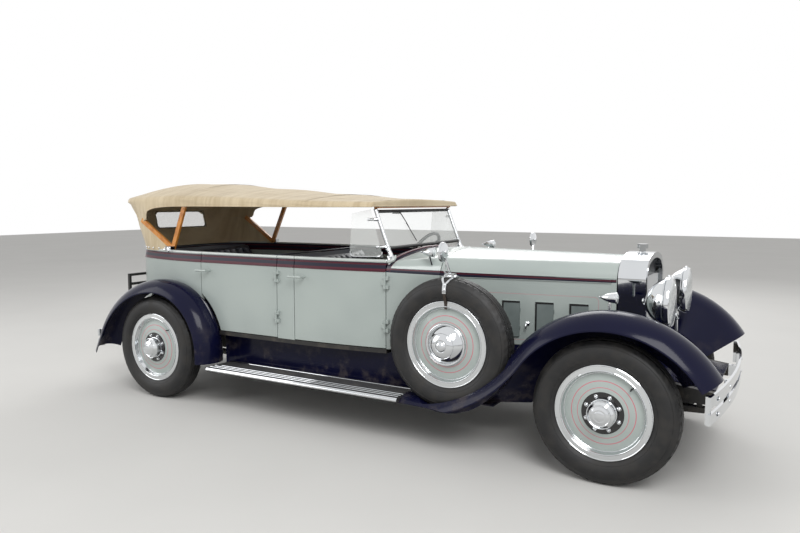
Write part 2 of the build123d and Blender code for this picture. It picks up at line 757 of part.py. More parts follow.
def shell_outline():
    """Front view of the radiator shell: a stepped shoulder each side of a crowned top."""
    side = Line((-SHELL_FOOT_HALF, SHELL_FOOT_Z), (-SHELL_HALF_WIDTH, SHELL_SIDE_Z))
    shoulder = TangentArc(side @ 1, (-SHELL_STEP_Y, SHELL_STEP_Z), tangent=side % 1)
    step = Line(shoulder @ 1, (-SHELL_STEP_Y + SHELL_STEP_IN, SHELL_STEP_Z + SHELL_STEP_UP))
    top = ThreePointArc(step @ 1, (0, SHELL_TOP_Z), (-(step @ 1).X, (step @ 1).Y))
    flipped = [edge.mirror(Plane.YZ) for edge in (side, shoulder, step)]
    base = Line((-SHELL_FOOT_HALF, SHELL_FOOT_Z), (SHELL_FOOT_HALF, SHELL_FOOT_Z))
    return make_face([side, shoulder, step, top] + flipped + [base])


def radiator():
    """Polished shell, cap, and the core behind its upright shutter blades."""
    outline = shell_outline()
    opening = offset(outline, amount=-SHELL_RIM)
    shell = extrude(at_station(outline, SHELL_REAR_X), amount=SHELL_DEPTH, dir=(1, 0, 0))
    shell -= extrude(at_station(opening, SHELL_REAR_X), amount=SHELL_DEPTH, dir=(1, 0, 0))
    neck_x = SHELL_REAR_X + SHELL_DEPTH / 2
    neck_z = SHELL_TOP_Z - SHELL_RIM / 2
    shell += rod((neck_x, 0, neck_z), (neck_x, 0, SHELL_TOP_Z + CAP_NECK), CAP_RADIUS * 0.6)
    shell += rod((neck_x, 0, SHELL_TOP_Z + CAP_NECK), (neck_x, 0, SHELL_TOP_Z + CAP_HEIGHT),
                 CAP_RADIUS)
    save("radiator_shell", shell)

    inside = offset(outline, amount=-SHELL_RIM)
    core = extrude(at_station(inside, SHELL_REAR_X + CORE_IN), amount=CORE_DEPTH, dir=(1, 0, 0))
    tall = extrude(at_station(inside, SHELL_REAR_X + CORE_IN + CORE_DEPTH),
                   amount=BLADE_DEPTH, dir=(1, 0, 0))
    blade_x = SHELL_REAR_X + CORE_IN + CORE_DEPTH + BLADE_DEPTH * 0.4 - 2
    pitch = 2 * (SHELL_HALF_WIDTH - SHELL_RIM) / BLADE_COUNT
    for number in range(BLADE_COUNT):
        y = (number - (BLADE_COUNT - 1) / 2) * pitch
        blade = Pos(blade_x, y, SHELL_SIDE_Z - BLADE_REACH / 2) * Rot(0, 0, BLADE_TURN) * Box(
            BLADE_DEPTH, BLADE_THICKNESS, BLADE_REACH)
        core += blade & tall
    save("radiator_core", core)


# Fenders, running boards and aprons

def sheet_outline(edges, thickness):
    """Close a run of edges into a thin sheet below them."""
    start, end = edges[0] @ 0, edges[-1] @ 1
    down = Vector(0, -thickness)
    lower = [Pos(0, -thickness) * edge for edge in edges]
    return list(edges) + lower + [Line(start, start + down), Line(end, end + down)]


def front_section(thickness=FENDER_SHEET):
    """Front fender across the car: lip, crown and the slope down to the frame."""
    crown = ThreePointArc((-FENDER_LIP_Y, -FENDER_LIP_DROP), (-FRONT_SECTION_CREST_Y, 0),
                          (-FRONT_SECTION_CROWN[0], -FRONT_SECTION_CROWN[1]))
    slope = TangentArc(crown @ 1, (-FRONT_SECTION_SLOPE[0], -FRONT_SECTION_SLOPE[1]),
                       tangent=crown % 1)
    inner = TangentArc(slope @ 1, (-FRONT_SECTION_INNER[0], -FRONT_SECTION_INNER[1]),
                       tangent=slope % 1)
    return sheet_outline([crown, slope, inner], thickness)


def rear_section(thickness=FENDER_SHEET):
    """Rear fender across the car: lip, crown and the inner edge under the body."""
    crown = ThreePointArc((-FENDER_LIP_Y, -FENDER_LIP_DROP), (-REAR_SECTION_CREST_Y, 0),
                          (-WHEELHOUSE_Y, -REAR_INNER_DROP))
    return sheet_outline([crown], thickness)


def front_sweep(outline):
    """Carry a section along the front fender's line, from the board to the tip."""
    crest_x = FRONT_AXLE_X + FRONT_CREST_AHEAD
    sweep_z = FRONT_FOOT_Z + FRONT_SWEEP_RADIUS
    rise = sweep_z - FRONT_CREST_CENTRE_Z
    run = sqrt((FRONT_CREST_RADIUS + FRONT_SWEEP_RADIUS) ** 2 - rise ** 2)
    turn = degrees(atan2(rise, -run))
    foot_x = HOOD_REAR_X - BOARD_FRONT_FROM_HOOD
    solid = swept_line(outline, foot_x, FRONT_FOOT_Z, 0, crest_x - run - foot_x)
    solid += swept_arc(outline, crest_x - run, sweep_z, FRONT_SWEEP_RADIUS, -90, turn - 180)
    solid += swept_arc(outline, crest_x, FRONT_CREST_CENTRE_Z, FRONT_CREST_RADIUS,
                       turn, FRONT_TIP_ANGLE)
    return solid


def apron_line():
    """Plan of the lower aprons' outer face: along the board, then in to the rail."""
    rail_y = RAIL_FRONT_Y + RAIL_WIDTH / 2
    return [
        (REAR_AXLE_X + BOARD_REAR_AHEAD, -BOARD_INNER_Y),
        (HOOD_REAR_X - APRON_BEND, -BOARD_INNER_Y),
        (HOOD_REAR_X, -HOOD_REAR_HALF_WIDTH),
        (HOOD_REAR_X + APRON_BEND * 2, -rail_y),
    ]


def hood_line():
    """Plan of the hood ledges' outer face, under the hood's sides."""
    return [(x, -hood_edge_y(x)) for x in (HOOD_REAR_X, SHELL_REAR_X)]


def inboard_room():
    """All that lies inside the aprons, the rails and the hood's sides."""
    line, top, rail_y = apron_line(), hood_line(), RAIL_FRONT_Y + RAIL_WIDTH / 2
    start_x = line[0][0]
    low = plan_plate(polygon(*line, (FRONT_END_X, -rail_y), (FRONT_END_X, 0), (start_x, 0)),
                     0, RAIL_TOP_Z)
    high = plan_plate(polygon(
        *line[:2], *top, (SHELL_FRONT_X - NOSE_TRIM_RUN, top[-1][1]),
        (SHELL_FRONT_X, -NOSE_TRIM_Y), (FRONT_END_X, -NOSE_TRIM_Y), (FRONT_END_X, 0),
        (start_x, 0)), RAIL_TOP_Z, TOP_EDGE_Z)
    return low + high


def spare_drum(radius, side_gap):
    """The round that a spare fills on the right side, with some room around it."""
    half = TYRE_WIDTH / 2 + side_gap
    return across(radius, SPARE_X, SPARE_Z, -SPARE_Y - half, -SPARE_Y + half)


def fenders_front():
    """Front fenders with a well for the spare wheel."""
    solid = front_sweep(front_section())
    foot_x = HOOD_REAR_X - BOARD_FRONT_FROM_HOOD
    solid &= block(foot_x, FRONT_END_X, -FENDER_LIP_Y, 0, FENDER_TRIM_Z, TOP_EDGE_Z)
    solid += plan_plate(polygon((foot_x, -BOARD_INNER_Y - FOOT_PLATE_OUT),
                                (foot_x + FOOT_PLATE_LENGTH, -BOARD_INNER_Y - FOOT_PLATE_OUT),
                                (foot_x + FOOT_PLATE_LENGTH, 0), (foot_x, 0)),
                        FENDER_TRIM_Z, FENDER_TRIM_Z + FENDER_SHEET)
    solid -= inboard_room()
    well_radius = TYRE_RADIUS + SEAT_GAP + WELL_SHEET
    trough = spare_drum(well_radius, WELL_SIDE_GAP + WELL_SHEET)
    under = front_sweep(front_section(WELL_DEPTH)) + block(
        foot_x, foot_x + FOOT_PLATE_LENGTH, -FENDER_LIP_Y, -HOOD_FRONT_HALF_WIDTH,
        SPARE_Z - well_radius, FENDER_TRIM_Z)
    solid += trough & under
    solid -= spare_drum(TYRE_RADIUS + SEAT_GAP, WELL_SIDE_GAP)
    save("fenders_front", *pair(solid))


def rear_sweep(outline):
    """Carry a section along the rear fender's line, from its tail to the board."""
    crest_x, crest_z = REAR_AXLE_X + REAR_CREST_AHEAD, REAR_CREST_CENTRE_Z
    tail_z = crest_z + REAR_CREST_RADIUS - REAR_TAIL_RADIUS
    a = radians(REAR_TAIL_ANGLE)
    slope = REAR_TAIL_ANGLE - 90
    end_x = crest_x + REAR_TAIL_RADIUS * cos(a)
    end_z = tail_z + REAR_TAIL_RADIUS * sin(a)
    run_x, run_z = cos(radians(slope)), sin(radians(slope))
    solid = swept_line(outline, end_x - REAR_TAIL_LENGTH * run_x,
                       end_z - REAR_TAIL_LENGTH * run_z, slope, REAR_TAIL_LENGTH)
    solid += swept_arc(outline, crest_x, tail_z, REAR_TAIL_RADIUS, REAR_TAIL_ANGLE, 90)
    solid += swept_arc(outline, crest_x, crest_z, REAR_CREST_RADIUS, 90, 0)
    solid += swept_line(outline, crest_x + REAR_CREST_RADIUS, crest_z, -90,
                        crest_z - REAR_FOOT_Z)
    return solid


def fenders_rear():
    """Rear fenders with their inner wheelhouse walls."""
    solid = rear_sweep(rear_section())
    crest_x = REAR_AXLE_X + REAR_CREST_AHEAD
    radius = REAR_CREST_RADIUS - REAR_INNER_DROP - FENDER_SHEET / 2
    wall = across(radius, crest_x, REAR_CREST_CENTRE_Z, -WHEELHOUSE_Y - FENDER_SHEET,
                  -WHEELHOUSE_Y)
    wall &= block(crest_x - radius, crest_x + radius, -FENDER_LIP_Y, 0,
                  WHEELHOUSE_BOTTOM_Z, TOP_EDGE_Z)
    save("fenders_rear", *pair(solid + wall))


def running_boards():
    """Boards on hanger brackets that reach in to the frame rails."""
    front_x = HOOD_REAR_X - BOARD_FRONT_FROM_HOOD - SEAT_GAP
    rear_x = REAR_AXLE_X + REAR_CREST_AHEAD + REAR_CREST_RADIUS + SEAT_GAP
    board = block(rear_x, front_x, -BOARD_OUTER_Y, -BOARD_INNER_Y,
                  BOARD_TOP_Z - BOARD_THICKNESS, BOARD_TOP_Z)
    pitch = (front_x - rear_x) / BOARD_HANGERS
    under = BOARD_TOP_Z - BOARD_THICKNESS
    inner_y = RAIL_REAR_Y - RAIL_WIDTH / 2
    for number in range(BOARD_HANGERS):
        x = rear_x + pitch * (number + 0.5)
        board += block(x - HANGER / 2, x + HANGER / 2, -BOARD_OUTER_Y + HANGER, -inner_y,
                       under - HANGER / 2, under)
        board += block(x - HANGER / 2, x + HANGER / 2, -inner_y - HANGER / 2, -inner_y,
                       under - HANGER / 2, RAIL_TOP_Z - RAIL_DEPTH)
    save("running_boards", *pair(board))


def upright_strip(line, z0, z1):
    """A thin upright sheet whose outer face follows a line in plan."""
    inner = [(x, y + APRON_SHEET) for x, y in line]
    return plan_plate(polygon(*line, *reversed(inner)), z0, z1)


def splash_aprons():
    """Upright sheets from the boards to the body, and ledges under the hood's sides."""
    low = upright_strip(apron_line(), BOARD_TOP_Z - BOARD_THICKNESS, FLOOR_Z - SILL_DEPTH)
    ledge = upright_strip(hood_line(), RAIL_TOP_Z, HOOD_BOTTOM_Z - HOOD_GAP)
    ledge &= block(HOOD_REAR_X + SEAT_GAP, SHELL_REAR_X, -BOARD_OUTER_Y, 0, 0, TOP_EDGE_Z)
    save("splash_aprons", *pair(clear_of_rails(low)), *pair(ledge))


# Chassis and engine

def rail_line(offset_y):
    """Plan of a right frame rail's centreline, moved out by an offset."""
    return [
        (REAR_END_X + RAIL_REAR_SHORT, -RAIL_REAR_Y - offset_y),
        (HOOD_REAR_X - RAIL_BEND_FROM, -RAIL_REAR_Y - offset_y),
        (HOOD_REAR_X - RAIL_BEND_TO, -RAIL_FRONT_Y - offset_y),
        (FRONT_END_X - HORN_SHORT, -RAIL_FRONT_Y - offset_y),
    ]


def rail_side():
    """Side view of a rail: level, kicked up over the rear axle, drooped at the horn."""
    depth, kick = RAIL_DEPTH, RAIL_KICK
    kick_x = REAR_AXLE_X + RAIL_KICK_AHEAD
    tops = [
        (REAR_END_X + RAIL_REAR_SHORT, RAIL_TOP_Z - kick / 2, depth / 2),
        (REAR_AXLE_X - RAIL_KICK_AHEAD / 2, RAIL_TOP_Z + kick, depth),
        (REAR_AXLE_X + RAIL_KICK_AHEAD / 2, RAIL_TOP_Z + kick, depth),
        (kick_x + RAIL_KICK_AHEAD / 2, RAIL_TOP_Z, depth),
        (SHELL_REAR_X, RAIL_TOP_Z, depth),
        (SHELL_FRONT_X, RAIL_TOP_Z - RAIL_DROP, depth * 0.75),
        (FRONT_END_X - HORN_SHORT, HORN_Z + depth / 4, depth / 2),
    ]
    lower = [(x, z - height) for x, z, height in reversed(tops)]
    return polygon(*[(x, z) for x, z, height in tops], *lower)


def rails():
    """The two frame rails."""
    half = RAIL_WIDTH / 2
    band = polygon(*rail_line(half), *reversed(rail_line(-half)))
    rail = plan_plate(band, 0, TOP_EDGE_Z)
    rail &= side_plate(rail_side(), -RAIL_REAR_Y - RAIL_WIDTH, 0)
    return pair(rail)


def clear_of_rails(solid):
    """A piece notched round the frame rails that it stands on."""
    for rail in rails():
        solid -= rail
    return solid


def frame():
    """Frame rails and the members between them."""
    half = RAIL_WIDTH / 2
    save("frame_rails", *rails())

    members = []
    for x, half_y, z_top, size in (
        (REAR_END_X + RAIL_REAR_SHORT + MEMBER, RAIL_REAR_Y - half, RAIL_TOP_Z - RAIL_KICK / 2,
         MEMBER / 2),
        (REAR_AXLE_X + MID_MEMBER_AHEAD, RAIL_REAR_Y - half, RAIL_TOP_Z, MEMBER),
        (PILLAR_FRONT_X, RAIL_REAR_Y - half, RAIL_TOP_Z, MEMBER),
        (SHELL_REAR_X + SHELL_DEPTH / 2, RAIL_FRONT_Y - half, SHELL_FOOT_Z, MEMBER),
        (FRONT_END_X - HORN_SHORT - MEMBER, RAIL_FRONT_Y - half, HORN_Z + RAIL_DEPTH / 4,
         MEMBER / 2),
    ):
        members.append(block(x - MEMBER / 2, x + MEMBER / 2, -half_y, half_y, z_top - size,
                             z_top))
    save("cross_members", *members)


def leaf_spring(axle_x, y, pad_z, half_length, eye_rise):
    """A leaf pack arched down over its axle, with a flat seat on the axle's pad."""
    top = pad_z + SPRING_THICKNESS
    shape = [
        ThreePointArc((axle_x - half_length, pad_z + eye_rise), (axle_x, pad_z),
                      (axle_x + half_length, pad_z + eye_rise)),
        Line((axle_x + half_length, pad_z + eye_rise),
             (axle_x + half_length, pad_z + eye_rise + SPRING_EYE)),
        ThreePointArc((axle_x + half_length, pad_z + eye_rise + SPRING_EYE), (axle_x, top),
                      (axle_x - half_length, pad_z + eye_rise + SPRING_EYE)),
        Line((axle_x - half_length, pad_z + eye_rise + SPRING_EYE),
             (axle_x - half_length, pad_z + eye_rise)),
    ]
    sheet = Plane(origin=(0, y - SPRING_WIDTH / 2, 0), x_dir=(1, 0, 0), z_dir=(0, -1, 0))
    face = sheet * make_face(shape)
    return extrude(face, amount=SPRING_WIDTH, dir=(0, 1, 0))


def running_gear():
    """Front beam, rear axle with its differential, springs, tank, pipe and engine."""
    half = AXLE_BEAM / 2
    eye_low, eye_high = AXLE_Z - KNUCKLE_EYE_HEIGHT / 2, AXLE_Z + KNUCKLE_EYE_HEIGHT / 2
    drop = AXLE_Z - AXLE_DROP
    seat_y = SPRING_FRONT_Y + SPRING_WIDTH / 2
    neck_y = KINGPIN_Y - KNUCKLE_EYE_RADIUS - BRAKE_GAP
    right = [(-KINGPIN_Y, eye_high), (-KINGPIN_Y, eye_low), (-neck_y, eye_low),
             (-seat_y, drop - AXLE_BEAM)]
    left = [(-y, z) for y, z in reversed(right)]
    outline = polygon(*right, *left, (neck_y, eye_high), (seat_y, drop), (-seat_y, drop),
                      (-neck_y, eye_high))
    beam = end_plate(outline, FRONT_AXLE_X - half, FRONT_AXLE_X + half)
    for y in (-KINGPIN_Y, KINGPIN_Y):
        beam -= block(FRONT_AXLE_X - AXLE_BEAM, FRONT_AXLE_X + AXLE_BEAM,
                      *sorted((y, y * 1.2)), 0, TOP_EDGE_Z)
        beam += rod((FRONT_AXLE_X, y, eye_low), (FRONT_AXLE_X, y, eye_high),
                    KNUCKLE_EYE_RADIUS)
        beam -= rod((FRONT_AXLE_X, y, eye_low), (FRONT_AXLE_X, y, eye_high),
                    KINGPIN_RADIUS + PIN_GAP)
    save("front_axle_beam", beam)

    reach = REAR_TRACK / 2 - RIM_WIDTH / 2 - BRAKE_GAP
    axle = across(AXLE_TUBE_RADIUS, REAR_AXLE_X, AXLE_Z, -reach, reach)
    axle += Pos(REAR_AXLE_X, 0, AXLE_Z) * Sphere(DIFFERENTIAL_RADIUS)
    for side in (-1, 1):
        axle += across(DRUM_RADIUS - FENDER_SHEET, REAR_AXLE_X, AXLE_Z,
                       side * (reach - FENDER_SHEET), side * reach)
        axle += across(SPINDLE_RADIUS, REAR_AXLE_X, AXLE_Z, side * (reach - 1),
                       side * (REAR_TRACK / 2 + SPINDLE_PAST))
        pad = AXLE_TUBE_RADIUS
        axle += block(REAR_AXLE_X - SPRING_PAD, REAR_AXLE_X + SPRING_PAD,
                      *sorted((side * (SPRING_REAR_Y - SPRING_WIDTH / 2),
                               side * (SPRING_REAR_Y + SPRING_WIDTH / 2))),
                      AXLE_Z, AXLE_Z + pad)
    shaft = rod((REAR_AXLE_X, 0, AXLE_Z), (HOOD_REAR_X, 0, AXLE_Z + SHAFT_RISE), SHAFT_RADIUS)
    save("rear_axle", axle + shaft)

    springs = []
    for axle_x, y, pad_z, half_length, rise, under_rail in (
        (FRONT_AXLE_X, SPRING_FRONT_Y, drop, FRONT_SPRING_HALF, FRONT_SPRING_RISE, True),
        (REAR_AXLE_X, SPRING_REAR_Y, AXLE_Z + AXLE_TUBE_RADIUS, REAR_SPRING_HALF,
         REAR_SPRING_RISE, False),
    ):
        for side in (-1, 1):
            pack = leaf_spring(axle_x, side * y, pad_z, half_length, rise)
            for way in (-1, 1):
                x = axle_x + way * (half_length - SPRING_EYE)
                z = pad_z + rise + SPRING_EYE / 2
                if under_rail:
                    pack += block(x - SPRING_EYE / 2, x + SPRING_EYE / 2,
                                  side * y - SPRING_EYE / 2, side * y + SPRING_EYE / 2,
                                  z, RAIL_TOP_Z - RAIL_DEPTH + SPRING_EYE / 2)
                else:
                    pack += across(SPRING_EYE / 3, x, z, side * y,
                                   side * (RAIL_REAR_Y - RAIL_WIDTH / 2))
            springs.append(clear_of_rails(pack))
    save("leaf_springs", *springs)

    engine = block(HOOD_REAR_X + ENGINE_IN, SHELL_REAR_X - ENGINE_IN, -ENGINE_HALF, ENGINE_HALF,
                   ENGINE_BOTTOM_Z, ENGINE_TOP_Z)
    feet_half = RAIL_FRONT_Y - RAIL_WIDTH / 2
    foot_x = SHELL_REAR_X - ENGINE_IN * 2
    engine += block(foot_x - MEMBER, foot_x, -feet_half, feet_half, RAIL_TOP_Z - MEMBER,
                    RAIL_TOP_Z)
    save("engine_block", engine)

    tank_x = REAR_END_X + TANK_AHEAD
    member_x = REAR_END_X + RAIL_REAR_SHORT + MEMBER * 1.5
    member_z = RAIL_TOP_Z - RAIL_KICK / 2
    tank = across(TANK_RADIUS, tank_x, TANK_Z, -TANK_HALF, TANK_HALF)
    for y in (-TANK_STRAP_Y, TANK_STRAP_Y):
        tank += block(member_x, tank_x, y - SPRING_WIDTH / 2, y + SPRING_WIDTH / 2,
                      member_z - MEMBER / 2, member_z)
    save("fuel_tank", tank)

    pipe = rod((REAR_END_X + PIPE_AHEAD, PIPE_Y, PIPE_Z), (HOOD_REAR_X, PIPE_Y, PIPE_Z),
               PIPE_RADIUS)
    pipe += rod((COWL_REAR_X - FRONT_DOOR_LENGTH, PIPE_Y, PIPE_Z),
                (COWL_REAR_X, PIPE_Y, PIPE_Z), MUFFLER_RADIUS)
    for x in (REAR_AXLE_X + MID_MEMBER_AHEAD, PILLAR_FRONT_X):
        pipe += block(x - PIPE_RADIUS, x + PIPE_RADIUS, PIPE_Y - 6, PIPE_Y + 6, PIPE_Z,
                      RAIL_TOP_Z - MEMBER)
    save("exhaust", pipe)


# Wheels and steering

def tyre(x, y, z, side):
    """A tyre ring; its outline is (distance from the axle, distance out)."""
    half, tread = TYRE_WIDTH / 2, TREAD_WIDTH / 2
    bead = RIM_WIDTH / 2
    wide_r = RIM_RADIUS + (TYRE_RADIUS - RIM_RADIUS) * 0.52
    shoulder_r = TYRE_RADIUS - TREAD_CROWN
    low, lip = RIM_RADIUS + SEAT_GAP, RIM_RADIUS + RIM_LIP + SEAT_GAP
    edges = [
        Line((low, -bead), (low, bead)),
        Line((low, bead), (lip, bead)),
        ThreePointArc((lip, bead), (wide_r, half), (shoulder_r, tread)),
        ThreePointArc((shoulder_r, tread), (TYRE_RADIUS, 0), (shoulder_r, -tread)),
        ThreePointArc((shoulder_r, -tread), (wide_r, -half), (lip, -bead)),
        Line((lip, -bead), (low, -bead)),
    ]
    return turned(edges, x, y, z, side)


def turned(edges, x, y, z, side):
    """Turn an outline of (radius, distance out) about a wheel's axis."""
    out = (0, side, 0)
    sheet = Plane(origin=(x, y, z), x_dir=(1, 0, 0), z_dir=(0, 0, side))
    return revolve(sheet * make_face(edges), axis=Axis((x, y, z), out))


def disc_wheel(x, y, z, side, drum=True):
    """Rim, dished disc, bolted flange, hub barrel and plain cap, with the brake drum."""
    half = RIM_WIDTH / 2
    seat = RIM_RADIUS
    points = [
        (seat, -half), (seat, half), (seat + RIM_LIP, half + SEAT_GAP),
        (seat + RIM_LIP, half + RIM_SHEET), (seat - RIM_DEPTH, half + RIM_SHEET),
        (DISC_EDGE_RADIUS, DISC_EDGE_OUT), (FLANGE_RADIUS, FLANGE_OUT),
        (HUB_RADIUS, FLANGE_OUT), (HUB_RADIUS, HUB_OUT), (CAP_FACE_RADIUS, HUB_OUT + CAP_FACE),
        (0, HUB_OUT + CAP_FACE), (0, DISC_BACK),
        (DISC_EDGE_RADIUS, DISC_BACK), (seat - RIM_DEPTH, half - RIM_SHEET),
        (seat - RIM_DEPTH, -half),
    ]
    solid = turned(Polyline(*points, close=True).edges(), x, y, z, side)
    if drum:
        solid += across(DRUM_RADIUS, x, z, y - side * half, y + side * (DISC_BACK + 1))
        solid -= across(SPINDLE_RADIUS + PIN_GAP, x, z, y - side * half,
                        y + side * (SPINDLE_PAST + PIN_GAP))
    turn = 360 / HUB_BOLTS
    for number in range(HUB_BOLTS):
        a = radians(turn * (number + 0.5))
        bx, bz = x + BOLT_CIRCLE * cos(a), z + BOLT_CIRCLE * sin(a)
        solid += across(BOLT_RADIUS, bx, bz, y + side * (FLANGE_OUT - 1),
                        y + side * (FLANGE_OUT + BOLT_HEIGHT))
    return solid


def road_wheels():
    """Four disc wheels and tyres, each pair in nodes of its own."""
    table = (
        ("front_right", FRONT_AXLE_X, -1, FRONT_TRACK),
        ("front_left", FRONT_AXLE_X, 1, FRONT_TRACK),
        ("rear_right", REAR_AXLE_X, -1, REAR_TRACK),
        ("rear_left", REAR_AXLE_X, 1, REAR_TRACK),
    )
    for place, x, side, track in table:
        y = side * track / 2
        save(f"wheel_{place}", disc_wheel(x, y, AXLE_Z, side))
        save(f"tyre_{place}", tyre(x, y, AXLE_Z, side))


def knuckles():
    """Steering knuckles: yoke, kingpin, back plate, spindle and arm; and the tie rod."""
    eye_half = KNUCKLE_EYE_HEIGHT / 2
    names = {-1: "right", 1: "left"}
    for side in (-1, 1):
        y = side * KINGPIN_Y
        plate_in = side * (FRONT_TRACK / 2 - RIM_WIDTH / 2 - BRAKE_GAP)
        plate_back = plate_in - side * FENDER_SHEET
        solid = rod((FRONT_AXLE_X, y, AXLE_Z - YOKE_HALF), (FRONT_AXLE_X, y, AXLE_Z + YOKE_HALF),
                    KINGPIN_RADIUS)
        for way in (-1, 1):
            low, high = sorted((AXLE_Z + way * (eye_half + PIN_GAP), AXLE_Z + way * YOKE_HALF))
            solid += rod((FRONT_AXLE_X, y, low), (FRONT_AXLE_X, y, high), KNUCKLE_EYE_RADIUS)
            solid += block(FRONT_AXLE_X - KNUCKLE_EYE_RADIUS, FRONT_AXLE_X + KNUCKLE_EYE_RADIUS,
                           *sorted((y, plate_in)), low, high)
        solid += across(DRUM_RADIUS - FENDER_SHEET, FRONT_AXLE_X, AXLE_Z, plate_back, plate_in)
        solid += across(SPINDLE_RADIUS, FRONT_AXLE_X, AXLE_Z, plate_in - side,
                        side * (FRONT_TRACK / 2 + SPINDLE_PAST))
        arm_top = AXLE_Z - eye_half - PIN_GAP
        solid += block(FRONT_AXLE_X - ARM_LENGTH, FRONT_AXLE_X, y - ARM_WIDTH / 2,
                       y + ARM_WIDTH / 2, AXLE_Z - YOKE_HALF, arm_top)
        pin_x = FRONT_AXLE_X - ARM_LENGTH
        solid += rod((pin_x, y, AXLE_Z - YOKE_HALF), (pin_x, y, arm_top), ARM_WIDTH / 2)
        solid += rod((pin_x, y, TIE_ROD_Z - TIE_ROD_RADIUS), (pin_x, y, AXLE_Z - YOKE_HALF),
                     ARM_PIN_RADIUS)
        save(f"knuckle_{names[side]}", solid)

    pin_x = FRONT_AXLE_X - ARM_LENGTH
    tie = across(TIE_ROD_RADIUS, pin_x, TIE_ROD_Z, -KINGPIN_Y, KINGPIN_Y)
    top = AXLE_Z - YOKE_HALF - PIN_GAP
    for y in (-KINGPIN_Y, KINGPIN_Y):
        tie += rod((pin_x, y, TIE_ROD_Z - TIE_ROD_RADIUS), (pin_x, y, top),
                   ARM_PIN_RADIUS * 2)
        room = PIN_GAP if y > 0 else PIN_GAP * 3
        tie -= rod((pin_x, y, TIE_ROD_Z - TIE_ROD_RADIUS), (pin_x, y, top),
                   ARM_PIN_RADIUS + room)
    save("tie_rod", tie)


def spares():
    """A spare wheel and tyre in each front fender's well."""
    save("spare_tyres", *[tyre(SPARE_X, side * SPARE_Y, SPARE_Z, side) for side in (-1, 1)])
    wheels = []
    for side in (-1, 1):
        wheel = disc_wheel(SPARE_X, side * SPARE_Y, SPARE_Z, side, drum=False)
        wheel += across(SPARE_COVER_RADIUS, SPARE_X, SPARE_Z, side * (SPARE_Y + FLANGE_OUT),
                        side * (SPARE_Y + FLANGE_OUT + BOLT_HEIGHT))
        wheels.append(wheel)
    save("spare_wheels", *wheels)


# Seats

def seats():
    """Front bench and rear bench, each a cushion with its back."""
    floor_z = RAIL_TOP_Z + FLOOR_THICKNESS
    back_x = PILLAR_REAR_X - FRONT_SEAT_BACK_BEHIND
    front = polygon(
        (back_x, floor_z), (back_x - SEAT_RAKE, SEAT_BACK_TOP_Z),
        (back_x - SEAT_RAKE + BACK_THICK, SEAT_BACK_TOP_Z), (back_x + BACK_THICK, CUSHION_Z),
        (back_x + FRONT_SEAT_LENGTH, CUSHION_Z + CUSHION_TILT),
        (back_x + FRONT_SEAT_LENGTH, floor_z))
    save("seat_front", side_plate(front, -FRONT_SEAT_HALF, FRONT_SEAT_HALF))

    floor_z = REAR_FLOOR_Z + FLOOR_THICKNESS
    back_x = REAR_AXLE_X - REAR_SEAT_BACK_BEHIND
    front_x = REAR_DOOR_REAR_X - SEAT_GAP
    rear = polygon(
        (back_x + SEAT_RAKE, floor_z), (back_x, SEAT_BACK_TOP_Z),
        (back_x + BACK_THICK, SEAT_BACK_TOP_Z), (back_x + SEAT_RAKE + BACK_THICK * 1.3, CUSHION_Z),
        (front_x, CUSHION_Z + CUSHION_TILT), (front_x, floor_z))
    half = WHEELHOUSE_Y - REAR_SEAT_SIDE
    room = raised(offset(body_plan(), amount=-WALL - REAR_SEAT_SIDE / 2), 0, TOP_EDGE_Z)
    save("seat_rear", side_plate(rear, -half, half) & room)


# Top, bows and windshield

def roof_solid(inset):
    """The room under the canvas top, drawn inset from its outer skin."""
    sections = []
    for station, half, edge_z, side_height, crown_z in ROOF_SECTIONS:
        w, z = half - inset, edge_z + side_height
        side = Line((-w, edge_z), (-w, z - inset))
        crown = ThreePointArc(side @ 1, (0, crown_z - inset), (w, z - inset))
        flipped = side.mirror(Plane.YZ)
        base = Line((-w, edge_z), (w, edge_z))
        sections.append(at_station(make_face([side, crown, flipped, base]),
                                   REAR_AXLE_X + station))
    return loft(sections, ruled=True)


def curtain_solid(inset):
    """The room inside the rear curtain and its quarters."""
    sections = []
    for z, half, side_x, (corner_x, corner_y), (back_x, back_y) in CURTAIN_SECTIONS:
        x = REAR_AXLE_X + inset
        corner = ThreePointArc((x + side_x, -half + inset), (x + corner_x, -corner_y + inset),
                               (x + back_x, -back_y))
        side = Line((REAR_AXLE_X + CURTAIN_FRONT, -half + inset), corner @ 0)
        flipped = [edge.mirror(Plane.XZ) for edge in (side, corner)]
        back = Line(corner @ 1, (x + back_x, back_y))
        front = Line(side @ 0, ((side @ 0).X, -(side @ 0).Y))
        sections.append(Pos(0, 0, z) * make_face([side, corner, back] + flipped + [front]))
    return loft(sections, ruled=True)


def canvas_top():
    """Roof and rear curtain in one skin, open ahead of the rear bows and at the window."""
    pivot_x = REAR_AXLE_X + BOW_PIVOT_AHEAD - BOW_WIDTH / 2 - PIVOT_PLATE
    run, rise = REAR_BOW_TOP[0] - BOW_PIVOT_AHEAD, REAR_BOW_TOP[1] - BOW_PIVOT_Z
    low, reach = BOW_PIVOT_Z - rise / 2, 2
    ahead = polygon((pivot_x - run / 2, low), (pivot_x + reach * run, BOW_PIVOT_Z + reach * rise),
                    (COWL_REAR_X, BOW_PIVOT_Z + reach * rise), (COWL_REAR_X, low))
    side_opening = side_plate(ahead, -BOARD_OUTER_Y, BOARD_OUTER_Y)
    outer = roof_solid(0) + (curtain_solid(0) - side_opening)
    inner = roof_solid(CANVAS) + (curtain_solid(CANVAS) - side_opening)
    window = block(REAR_END_X, REAR_AXLE_X, -WINDOW_HALF, WINDOW_HALF, WINDOW_LOW_Z,
                   WINDOW_HIGH_Z)
    save("top_canvas", outer - inner - window)


